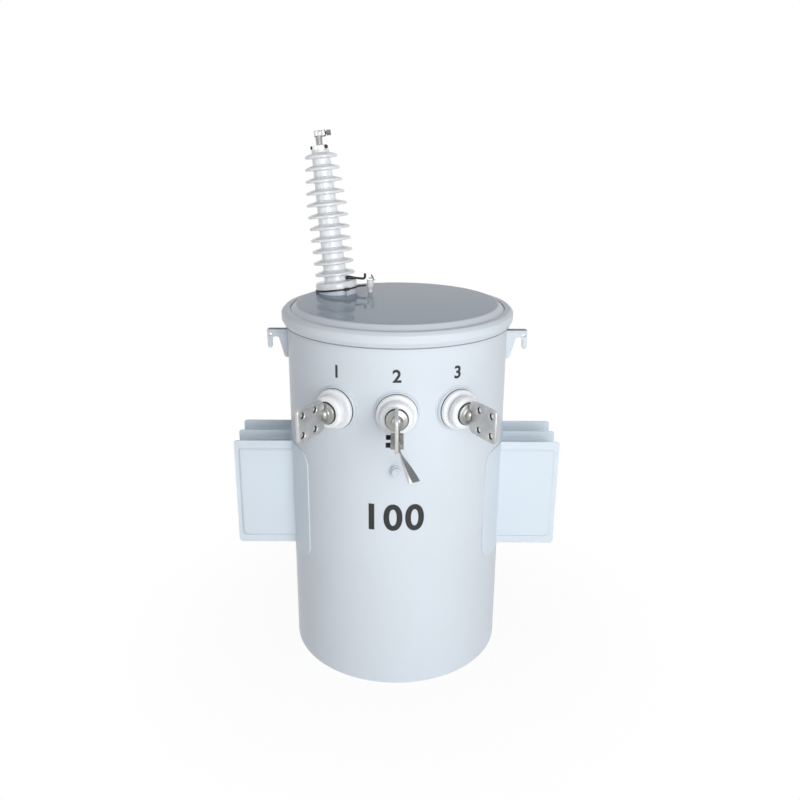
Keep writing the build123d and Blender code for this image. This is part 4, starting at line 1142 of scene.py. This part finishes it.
class TRANSFORMER_OT_bushing_head(Operator):
    """Make the bushing's cap with its side screws, the threaded stud and the clamp terminal"""

    bl_idname = "transformer.bushing_head"
    bl_label = "Bushing head"

    def execute(self, context):
        settings = context.scene.transformer_bushing
        hv = HighVoltage(settings)
        radius, height = settings.cap / 2, settings.cap_height
        cap = spun((0, 0, 0), (radius, 0, 0.001), (radius, height, 0.003), (0, height, 0), segments=96)
        make_piece("bushing_cap", [set_in(cap, hv.at(hv.top))], "bright", "hv_cap")
        screws = []
        for turn in (radians(-170), radians(-38)):
            out = hv.right * cos(turn) + hv.back * sin(turn)
            screw = place(hv.at(hv.top + height * 0.55)[0] + out * (radius - 0.0006), hv.axis, out)
            screws += [set_in(washer(0.010, 0.0010), screw), set_in(hexagon(0.008, 0.0034), screw)]
        make_piece("cap_screws", screws, "black")
        stud = thread(settings.stud, settings.stud_length + 0.002, 0.002)
        make_piece("bushing_stud", [set_in(stud, hv.at(hv.cap_top - 0.001))], "tinned", "hv_stud")

        x, y, rim = settings.block_width / 2, settings.block_height / 2, settings.keeper_rim
        middle = hv.at(hv.stud_top + y, settings.block_offset)[0]
        across, bore = place(middle, hv.right, -hv.back), [circle(0, 0, settings.block_bore)]
        keeper, depth = settings.keeper, settings.block_depth
        block = plate(oblong(rim - x, x - rim, rim - y, y - rim, 0.003, 0.003), bore, depth - keeper, 0.001)
        make_piece("clamp_terminal", [set_in(block, shifted(across, z=keeper / 2))], "tinned", "hv_terminal")
        back = plate(oblong(-x, x, -y, y, 0.003, 0.003), bore, keeper, 0.0006)
        back = set_in(back, shifted(across, z=(keeper - depth) / 2))
        make_piece("clamp_terminal_keeper", [back], "black", "hv_terminal")
        screw = place(middle + hv.right * x, hv.axis, hv.right)
        parts = [
            set_in(thread(0.008, 0.0048, 0.00125), shifted(screw, z=-0.0004)),
            set_in(washer(0.0150, 0.0012), shifted(screw, z=0.0030)),
            set_in(hexagon(0.013, 0.0088), shifted(screw, z=0.0042)),
        ]
        make_piece("terminal_screw", parts, "dark", "hv_terminal_screw")
        return {"FINISHED"}


class TRANSFORMER_OT_arcing_gap(Operator):
    """Make the arcing gap: the post with its clip, and the horn on a half strap behind the core"""

    bl_idname = "transformer.arcing_gap"
    bl_label = "Arcing gap"

    def execute(self, context):
        settings = context.scene.transformer_bushing
        hv = HighVoltage(settings)
        radius, height, post_x = settings.post / 2, settings.post_height, settings.x + settings.gap
        foot, neck = np.array([post_x, settings.y, COVER_TOP]), radius * 0.66
        outline = [(0, 0, 0), (neck, 0, 0), (neck, height * 0.30, 0.002), (radius, height * 0.44, 0.003)]
        post = spun(*outline, (radius, height, 0.0012), (0, height, 0), segments=64)
        make_piece("gap_support", [set_in(post, place(foot, X, Z))], "porcelain", "gap_post")

        clip_end, wing, lean, sheet = 0.020 - radius, 0.013, 0.007, 0.0025
        width, soft, bend = 0.012, 0.0006, clip_end - 1.5 * sheet
        flat = oblong(-radius, bend, 0, sheet, 0.0003, 0.0002)
        upturned = [(bend - HAIR, 0, 0.0003), (clip_end, 0, 0.003), (clip_end - lean, wing, 0.0008)]
        upturned += [(clip_end - lean - sheet, wing, 0.0008), (bend - HAIR, sheet, 0.0003)]
        top = foot + (0, 0, height)
        edge_on = place(top, X, -Y)
        screw = set_in(hexagon(0.0078, 0.004), place(top + (0, 0, sheet), X, Z))
        clip = [set_in(plate(flat, [], width, soft), edge_on), screw]
        make_piece("gap_clip", clip, "bright", "gap_electrode")
        wing = [set_in(plate(rounded(*upturned), [], width, soft), edge_on)]
        make_piece("gap_clip_wing", wing, "black", "gap_electrode")

        strap_foot, strap_width, strap = hv.base_top + 0.002, 0.008, 0.0025
        inner = hv.core(strap_foot) + HAIR
        collar = oblong(inner, inner + strap, 0, strap_width, 0.0005, 0.0010)
        start = hv.at(strap_foot + strap_width / 2, inner + strap * 0.4)[0]
        bend = np.array([post_x - radius - 0.002 - settings.rod / 2, start[1], start[2] - 0.004])
        line = rounded((*start, 0), (*bend, 0.006), (*(bend + (0, 0, 0.014)), 0), closed=False, steps=10)
        path = np.concatenate([straight(start, line[1], 0.001), line[2:]])
        run = np.linalg.norm(path - start, axis=1)
        thick = settings.rod / 2 * (1.25 + 0.85 * np.clip(1 - run / 0.018, 0, 1))
        horn = swept(ring_section(1.0, 20), path, Y, thick)
        collar = set_in(part_turned(collar, -pi / 6, pi * 5 / 6, 49), hv.at(strap_foot))
        make_piece("arcing_horn", [collar, horn], "black", "gap_rod")
        return {"FINISHED"}


# ------------------------------------------------------------------ low-voltage bushings
class TRANSFORMER_OT_terminals(Operator):
    """Make the three low-voltage bushings: welded boss, porcelain, metal hub and four-hole pad"""

    bl_idname = "transformer.terminals"
    bl_label = "Low-voltage bushings"

    def execute(self, context):
        settings = context.scene.transformer_terminals
        for number in (1, 2, 3):
            azimuth = (number - 2) * settings.spread
            self.pad(settings, number, azimuth, self.bushing(settings, number, azimuth))
        return {"FINISHED"}

    @staticmethod
    def bushing(settings, number, azimuth):
        """Boss, porcelain, dark seals that are partly painted shade, and hub at an azimuth; gives back the
        hub's outline for the pad.
        """
        front, boss = facing(azimuth, LV_LEVEL), settings.boss / 2
        boss_top = TANK_RADIUS + settings.boss_height
        outline = [(0, TANK_RADIUS - SUNK, 0), (boss, TANK_RADIUS - 0.03, 0), (boss, TANK_RADIUS + 0.001, 0)]
        outline = spun(*outline, (settings.boss_face / 2, boss_top, 0.003), (0, boss_top, 0))
        weld = boss_bead(azimuth, LV_LEVEL, settings.boss, WELD["boss"])
        surfaces = [to_wall(set_in(outline, front), azimuth), weld]
        make_piece(f"welded_boss_{number}", surfaces, "enamel", f"lv_boss_{number}")

        flange, body, groove = settings.flange / 2, settings.body / 2, settings.groove / 2
        flange_foot = boss_top + settings.gasket
        groove_foot = flange_foot + settings.flange_length
        body_foot, body_face = groove_foot + settings.groove_width, LV_BUSHING_FACE - settings.body_inset
        outline = [(0, flange_foot, 0), (flange, flange_foot, 0.0020), (flange, groove_foot, 0.0050)]
        outline += [(groove, groove_foot, 0.003), (groove, body_foot, 0.002), (body, body_foot, 0.003)]
        porcelain = [set_in(spun(*outline, (body, body_face, 0.0085), (0, body_face, 0)), front)]
        make_piece(f"porcelain_bushing_{number}", porcelain, "porcelain", f"lv_bushing_{number}")
        # Dark rubber rings just wider than the flange, and round the hub: gaskets, and painted shade for the
        # contact shadows outlining them.
        discs = (flange * 2 + 0.0012, boss_top), (settings.seal, body_face)
        seals = [set_in(washer(disc, settings.gasket), shifted(front, z=level)) for disc, level in discs]
        make_piece(f"bushing_shade_seals_{number}", seals, "rubber")

        foot, nose, tip = body_face + settings.gasket, settings.nose / 2, LV_HUB_FACE - settings.nose_inset
        outline = [(0, foot, 0), (settings.hub / 2, foot, 0.0008), (settings.hub / 2, foot + 0.005, 0.002)]
        outline += [(nose, foot + 0.0065, 0.003), (nose, tip, 0.009), (0, tip, 0)]
        hub = rounded(*outline, closed=False)
        make_piece(f"terminal_hub_{number}", [set_in(turned(hub, 96), front)], "hub", f"lv_hub_{number}")
        return hub

    @staticmethod
    def pad(settings, number, azimuth, hub):
        """Upright pad with four holes lined dark as painted shade; its inner end is notched along the hub's
        nose.
        """
        nose, half = settings.nose / 2 + 0.0004, settings.pad_height / 2
        start, neck, corner = PAD_INNER - 0.002, settings.pad_neck, settings.pad_round
        outline = [(start, -nose, 0), (start, -half, neck), (PAD_END, -half, corner)]
        outline += [(PAD_END, half, corner), (start, half, neck), (start, nose, 0)]
        side = hub[(hub[:, 1] > start) & (hub[:, 0] > 0)][:, ::-1] + HAIR
        outline = np.concatenate([rounded(*outline, closed=False), side, side[::-1] * (1, -1)])
        middle, near = PAD_INNER + settings.pattern, settings.spacing / 2
        centres = [(middle + x, y) for x in (-near, near) for y in (-near, near)]
        holes = [circle(x, y, settings.hole) for x, y in centres]
        pad = plate(outline, holes, settings.pad, settings.pad_edge)
        upright_pad = upright(azimuth, LV_LEVEL)
        make_piece(f"terminal_pad_{number}", [set_in(pad, upright_pad)], "tinned", f"lv_pad_{number}")
        # Painted shade: black sleeves line the holes' bores so that they read as shaded.
        radius, deep = settings.hole / 2, settings.pad / 2 - settings.pad_edge * 0.6
        wall = turned(oblong(radius - 0.0004, radius, -deep, deep, 0, 0), 40, True)
        walls = [set_in(wall, shifted(upright_pad, x=x, y=y)) for x, y in centres]
        make_piece(f"pad_hole_painted_shade_{number}", walls, "black")


# ------------------------------------------------------------------ earthing
class TRANSFORMER_OT_earthing(Operator):
    """Make the earth boss with its plug, and the strap that hangs from the middle pad"""

    bl_idname = "transformer.earthing"
    bl_label = "Earthing"

    def execute(self, context):
        earth = context.scene.transformer_earth
        front, radius = facing(0.0, EARTH_LEVEL), earth.pad / 2
        outline = [(0, TANK_RADIUS - SUNK, 0), (radius, TANK_RADIUS - 0.004, 0)]
        boss = spun(*outline, (radius, EARTH_FACE, 0.0018), (0, EARTH_FACE, 0), segments=96)
        welded = [to_wall(set_in(boss, front), 0.0), boss_bead(0.0, EARTH_LEVEL, earth.pad, WELD["earth"])]
        make_piece("earth_boss", welded, "enamel", "ground_pad")
        radius, height = earth.plug / 2, earth.head
        floor, inner = height * 0.75, radius * 0.30
        outline = [(0, 0, 0), (radius, 0, 0.0010), (radius, height, 0.0016), (radius * 0.42, height, 0.0008)]
        plug = spun(*outline, (inner, floor, 0.0008), (0, floor, 0), segments=72)
        make_piece("earth_plug", [set_in(plug, shifted(front, z=EARTH_FACE))], "enamel", "ground_bolt")
        self.strap(earth, context.scene.transformer_terminals)
        return {"FINISHED"}

    @staticmethod
    def strap(earth, terminals):
        """Tab on the pad's face, tail as a section turned a quarter along its swing, and bolts."""
        near, half, face = terminals.spacing / 2, earth.strap_width / 2, terminals.pad / 2 + HAIR
        centre_y, bolt_level = -(PAD_INNER + terminals.pattern), LV_LEVEL - near
        top, low, foot, end = bolt_level + half, bolt_level - half, PAD_FOOT - 0.003, near + half
        outline = [(-end, low, 0.003), (-half, low, 0), (-half, foot, 0), (half, foot, 0), (half, low, 0)]
        outline = rounded(*outline, (end, low, 0.003), (end, top, 0.003), (-end, top, 0.003))
        holes = [circle(side * near, bolt_level, earth.shank + 0.002) for side, _ in SIDES]
        tab = plate(outline, holes, earth.strap, 0.0005)
        tab = set_in(tab, place((face + earth.strap / 2, centre_y, 0), Y, X))

        t = np.linspace(0, 1, 60)
        out, inward = face + earth.strap / 2 + earth.swing * t**1.05, centre_y + earth.reach * t
        centre = np.stack([out, inward, foot + 0.001 - (earth.drop + 0.001) * t], -1)
        turn, slant = t * pi / 2, earth.slant * t
        across = np.stack([np.sin(turn) * np.cos(slant), -np.cos(turn), np.sin(slant)], -1)
        normal = np.stack([np.cos(turn), np.sin(turn), 0 * t], -1)

        def carried(section):
            """A section down the tail: centre + x across + (y + crease t2) normal."""
            crease = 0.0022 * np.clip(1 - np.abs(section[:, 0] + half / 3) / (half / 3), 0, 1)
            lift = section[None, :, 1:] + (crease * t[:, None] ** 2)[..., None]
            return capped(centre[:, None] + section[None, :, :1] * across[:, None] + lift * normal[:, None])

        thick, soft = earth.strap / 2, 0.0006
        corners = oblong(-half, half, -thick, thick, soft, soft)
        wide = np.linspace(-half + soft, half - soft, 12)
        lower = np.column_stack([wide, 0 * wide - thick])
        upper = np.column_stack([wide[::-1], 0 * wide + thick])
        right, left = corners[corners[:, 0] > 0], corners[corners[:, 0] < 0]
        right = right[np.argsort(np.arctan2(right[:, 1], right[:, 0] - half + soft))]
        left = left[np.argsort(np.arctan2(left[:, 1], -(left[:, 0] + half - soft)))[::-1]]
        tail = carried(np.concatenate([lower, right, upper, left]))
        make_piece("earth_strap", [tab, tail], "strap", "ground_strap")
        # Painted highlight: a lighter tinned band down one edge of the tail stands for light caught along it;
        # the strap's dark colour is partly painted shade on its face.
        side = np.linspace(-half + 0.0008, -half * 0.36, 9)
        band = np.column_stack([np.concatenate([side, side[::-1]]), np.repeat([-0.0004, 0.0002], 9) - thick])
        make_piece("earth_strap_painted_highlight", [carried(band)], "tinned", "ground_strap")

        bolts, shanks, seat, long = [], [], 0.0016, earth.strap + HAIR + terminals.pad
        for side, _ in SIDES:
            middle = (0, centre_y + side * near, bolt_level)
            head = shifted(place(middle, Y, X), z=face + earth.strap)
            back = shifted(place(middle, Y, -X), z=terminals.pad / 2)
            bolts += fastener(head, earth.flats, earth.head - seat, 0.0195, seat)
            bolts += fastener(back, earth.flats, earth.nut - seat, 0.0195, seat)
            shank = thread(earth.shank, long + earth.nut + 0.006, 0.00175)
            shanks.append(set_in(shank, shifted(back, z=-long + 0.004)))
        make_piece("strap_bolt_set", bolts, "dark", "strap_bolts")
        make_piece("strap_bolt_threads", shanks, "black", "strap_bolts", slot="bolt_steel")


# ------------------------------------------------------------------ pole brackets
def channel(bracket):
    """Middle surface of a bracket: a face with a slot, a quarter bend on each side and two legs.

    The face is a fan of rays from the slot's edge to the face's rim; the slot's edge is at
    w / cos(a) on its straight sides and on the end circle's line elsewhere.
    """
    y, bend = BRACKET_FACE - bracket.sheet / 2, bracket.bend
    half, rise = BRACKET_EDGE - bracket.sheet / 2, BRACKET_HEIGHT / 2
    flat = half - bend
    levels, across = np.linspace(-rise, rise, 25), np.linspace(-flat, flat, 25)[1:-1]
    sides = (0 * levels + flat, levels), (across[::-1], 0 * across + rise)
    sides += (0 * levels - flat, levels[::-1]), (across, 0 * across - rise)
    rim = np.concatenate([np.column_stack(side) for side in sides])
    direction = rim / np.linalg.norm(rim, axis=1)[:, None]
    c, s = np.abs(direction).T
    w, reach = bracket.slot_width / 2, (bracket.slot_length - bracket.slot_width) / 2
    on_side = w / np.maximum(c, 1e-9)
    on_end = reach * s + np.sqrt(np.maximum(w**2 - (reach * c) ** 2, 0))
    slot = direction * np.where(on_side * s <= reach, on_side, on_end)[:, None]
    fan = slot + (rim - slot) * np.linspace(0, 1, 7)[:, None, None]
    face = np.stack([fan[..., 0], np.full(fan.shape[:2], y), fan[..., 1]], -1)
    surfaces = [(face.reshape(-1, 3), grid_faces(7, len(rim)))]
    a = np.linspace(0, pi / 2, 9)
    leg_y = np.linspace(y - bend, np.sqrt(TANK_RADIUS**2 - half**2), 6)[1:]
    for side, _ in SIDES:
        x = side * np.concatenate([flat + bend * np.sin(a), np.full_like(leg_y, half)])
        depth = np.concatenate([y - bend + bend * np.cos(a), leg_y])
        sheet = np.stack([x + 0 * levels[:, None], depth + 0 * levels[:, None], levels[:, None] + 0 * x], -1)
        surfaces.append((sheet.reshape(-1, 3), grid_faces(len(levels), len(x), False, False)))
    return surfaces


class TRANSFORMER_OT_brackets(Operator):
    """Make the two pole brackets at the back, bent channels welded to the tank"""

    bl_idname = "transformer.brackets"
    bl_label = "Pole brackets"

    def execute(self, context):
        bracket = context.scene.transformer_brackets
        wall_y, rise = np.sqrt(TANK_RADIUS**2 - BRACKET_EDGE**2), BRACKET_HEIGHT / 2 - 0.002
        for name, ends in BRACKETS.items():
            level = sum(ends) / 2
            surfaces = [set_in(surface, place((0, 0, level), X, Z)) for surface in channel(bracket)]
            piece = make_piece(f"bracket_{name}", surfaces, "enamel", f"pole_bracket_{name}")
            wall = piece.modifiers.new("sheet", "SOLIDIFY")
            wall.thickness, wall.offset = bracket.sheet, 0.0
            add_bevel(piece, 0.0012, 50.0)
            run = wall_y, level - rise, level + rise, WELD["bracket"], Y
            welds = [upright_bead(side * BRACKET_EDGE, *run) for side, _ in SIDES]
            make_piece(f"bracket_{name}_welds", welds, "enamel")
        return {"FINISHED"}


# ------------------------------------------------------------------ numerals
def numerals(text, height, azimuth, level, spacing=1.0):
    """Painted numerals: the flat text is sliced upright, then bent so that x becomes arc length."""
    font = bpy.data.curves.new("numerals", "FONT")
    font.body, font.size, font.align_x, font.align_y = text, 1.0, "CENTER", "CENTER"
    font.space_character, font.offset, font.extrude = spacing, 0.026, 0.0
    points, faces = as_surface(font)
    foot, top = points.min(0), points.max(0)
    points = (points - (foot + top) / 2) * height / (top[1] - foot[1])
    mesh = bpy.data.meshes.new("numerals")
    mesh.from_pydata(points.tolist(), [], faces)
    form = bmesh.new()
    form.from_mesh(mesh)
    bmesh.ops.remove_doubles(form, verts=form.verts, dist=1e-6)
    width, slice_width = points[:, 0].max(), 0.004
    for cut in np.arange(-width, width, slice_width):
        everything = [*form.verts, *form.edges, *form.faces]
        bmesh.ops.bisect_plane(form, geom=everything, plane_co=(cut, 0, 0), plane_no=X)
    form.to_mesh(mesh)
    form.free()
    flat, faces = taken_out(mesh)
    turn, count = azimuth + flat[:, 0] / TANK_RADIUS, len(flat)
    rings, under, over = [], 0.0004, 0.00025
    for radius in (TANK_RADIUS - under, TANK_RADIUS + over):
        rings.append(np.stack([radius * np.sin(turn), -radius * np.cos(turn), level + flat[:, 1]], -1))
    edges = dict.fromkeys(edge for face in faces for edge in zip(face, face[1:] + face[:1]))
    sides = [[a, b, b + count, a + count] for a, b in edges if (b, a) not in edges]
    raised = [[i + count for i in face] for face in faces]
    return np.concatenate(rings), [face[::-1] for face in faces] + raised + sides


class TRANSFORMER_OT_numerals(Operator):
    """Paint plain numerals on the tank: one over each low-voltage bushing, and a large one below"""

    bl_idname = "transformer.numerals"
    bl_label = "Numerals"

    def execute(self, context):
        spread = context.scene.transformer_terminals.spread
        for number in (1, 2, 3):
            mark = numerals(str(number), 0.030, (number - 2) * spread, LV_LEVEL + 0.0855)
            make_piece(f"numeral_{number}", [mark], "marking")
        make_piece("numeral_large", [numerals("100", 0.068, 0.0, EARTH_LEVEL - 0.120, 1.12)], "marking")
        return {"FINISHED"}


# ------------------------------------------------------------------ core and winding
class TRANSFORMER_OT_core(Operator):
    """Give the core, its feet and the winding inside the tank their finishes"""

    bl_idname = "transformer.core"
    bl_label = "Core and winding"

    def execute(self, context):
        for node, kind in (("transformer_core", "steel"), ("core_feet", "steel"), ("winding", "paper")):
            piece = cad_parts[node]
            piece.data.materials.clear()
            piece.data.materials.append(finish_of(kind))
        return {"FINISHED"}


# ------------------------------------------------------------------ stage
class TRANSFORMER_OT_stage(Operator):
    """Set up the plain floor, the soft lamps, the surroundings and the camera"""

    bl_idname = "transformer.stage"
    bl_label = "Stage"

    def execute(self, context):
        stage = context.scene.transformer_stage
        self.floor(stage)
        self.surroundings(stage)
        self.lamp("key_lamp", (0.95, -2.75, 1.30), (0.0, 0.0, 0.52), 1.9, stage.key)
        self.lamp("fill_lamp", (-2.4, -1.6, 1.2), (0.0, 0.0, 0.60), 1.5, stage.fill)
        self.camera(stage)
        context.scene.view_settings.view_transform = "Standard"
        return {"FINISHED"}

    @staticmethod
    def camera_or_gloss(made):
        """1 for rays from the camera and for reflections or transmissions, 0 for light."""
        rays = made.node("ShaderNodeLightPath")
        seen = rays["Is Camera Ray"]
        for name in ("Is Glossy Ray", "Is Transmission Ray"):
            seen = made.math("MAXIMUM", seen, rays[name])
        return seen

    def floor(self, stage):
        """Plain pale floor: it takes the object's shadow, and shows as white far from it."""
        mesh, reach = bpy.data.meshes.new("floor"), 30.0
        corners = [(-reach, -reach, 0), (reach, -reach, 0), (reach, reach, 0), (-reach, reach, 0)]
        mesh.from_pydata(corners, [], [(0, 1, 2, 3)])
        new_object("floor", mesh)
        material = bpy.data.materials.new("floor_finish")
        made = Nodes(material)
        made.finish(Roughness=0.9, Specular_IOR_Level=0.0, Base_Color=(*stage.floor, 1))
        distance = made.node("ShaderNodeVectorMath", {0: made.place}, operation="LENGTH")["Value"]
        fade = made.spread(distance, 0.94, 1.0, 0.30, 0.8)
        amount = made.math("MULTIPLY", fade, self.camera_or_gloss(made))
        white = made.node("ShaderNodeEmission", Strength=1.0)[0]
        mixed = made.node("ShaderNodeMixShader", {0: amount, 1: made.shader.outputs[0], 2: white})[0]
        made.give(made.tree.nodes["Material Output"], {"Surface": mixed})
        mesh.materials.append(material)

    def surroundings(self, stage):
        """White to the eye and in reflections; as light, dimmer from the ceiling than from the walls."""
        bpy.context.scene.world = world = bpy.data.worlds.new("studio")
        made = Nodes(world, "Background", "Generated")
        height = made.node("ShaderNodeSeparateXYZ", {0: made.place})["Z"]
        light = made.spread(height, stage.sky, stage.ceiling, 0.15, 0.9)
        seen = {0: self.camera_or_gloss(made), 2: light, 3: 1.0}
        made.finish(Color=(1, 1, 1, 1), Strength=made.node("ShaderNodeMix", seen, data_type="FLOAT")[0])

    @staticmethod
    def lamp(name, position, aim, width, power):
        """A large square soft lamp, turned to its aim."""
        light = bpy.data.lights.new(name, "AREA")
        light.shape, light.size, light.energy = "SQUARE", width, power
        away = unit(np.subtract(position, aim))
        side = unit(np.cross(Z, away))
        turn = np.column_stack([side, np.cross(away, side), away])
        new_object(name, light).matrix_world = Matrix.Translation(position) @ Matrix(turn.tolist()).to_4x4()

    @staticmethod
    def camera(stage):
        """The camera in front of the tank, looking down at it."""
        lens = bpy.data.cameras.new("camera")
        lens.lens, lens.shift_x = stage.lens, stage.camera_shift
        position = Matrix.Translation((0, -stage.camera_distance, stage.camera_height))
        pitch = Matrix.Rotation(pi / 2 - stage.camera_pitch, 4, "X")
        roll = Matrix.Rotation(stage.camera_roll, 4, "Z")
        bpy.context.scene.camera = camera = new_object("camera", lens)
        camera.matrix_world = position @ pitch @ roll


# ------------------------------------------------------------------ add-on
OPERATORS = (
    TRANSFORMER_OT_tank,
    TRANSFORMER_OT_cover,
    TRANSFORMER_OT_band,
    TRANSFORMER_OT_lugs,
    TRANSFORMER_OT_radiators,
    TRANSFORMER_OT_bushing,
    TRANSFORMER_OT_clamp_ring,
    TRANSFORMER_OT_bushing_head,
    TRANSFORMER_OT_arcing_gap,
    TRANSFORMER_OT_terminals,
    TRANSFORMER_OT_earthing,
    TRANSFORMER_OT_brackets,
    TRANSFORMER_OT_numerals,
    TRANSFORMER_OT_core,
    TRANSFORMER_OT_stage,
)


class TRANSFORMER_PT_panel(Panel):
    """Lists the pieces of the transformer"""

    bl_idname = "TRANSFORMER_PT_panel"
    bl_label = "Transformer"
    bl_space_type = "VIEW_3D"
    bl_region_type = "UI"
    bl_category = "Transformer"

    def draw(self, context):
        for operator in OPERATORS:
            self.layout.operator(operator.bl_idname)
        for name, group in SETTINGS.items():
            box = self.layout.box()
            box.label(text=group.__doc__)
            for key in group.__annotations__:
                box.prop(getattr(context.scene, name), key)


def register():
    """Registers the settings, the operators and the panel."""
    for name, group in SETTINGS.items():
        bpy.utils.register_class(group)
        setattr(bpy.types.Scene, name, PointerProperty(type=group))
    for kind in (*OPERATORS, TRANSFORMER_PT_panel):
        bpy.utils.register_class(kind)


def unregister():
    """Takes them away again."""
    for kind in (TRANSFORMER_PT_panel, *reversed(OPERATORS)):
        bpy.utils.unregister_class(kind)
    for name, group in SETTINGS.items():
        delattr(bpy.types.Scene, name)
        bpy.utils.unregister_class(group)


def main():
    """Registers the add-on and makes every piece."""
    register()
    for operator in OPERATORS:
        group, name = operator.bl_idname.split(".")
        getattr(getattr(bpy.ops, group), name)()


if __name__ == "__main__":
    main()
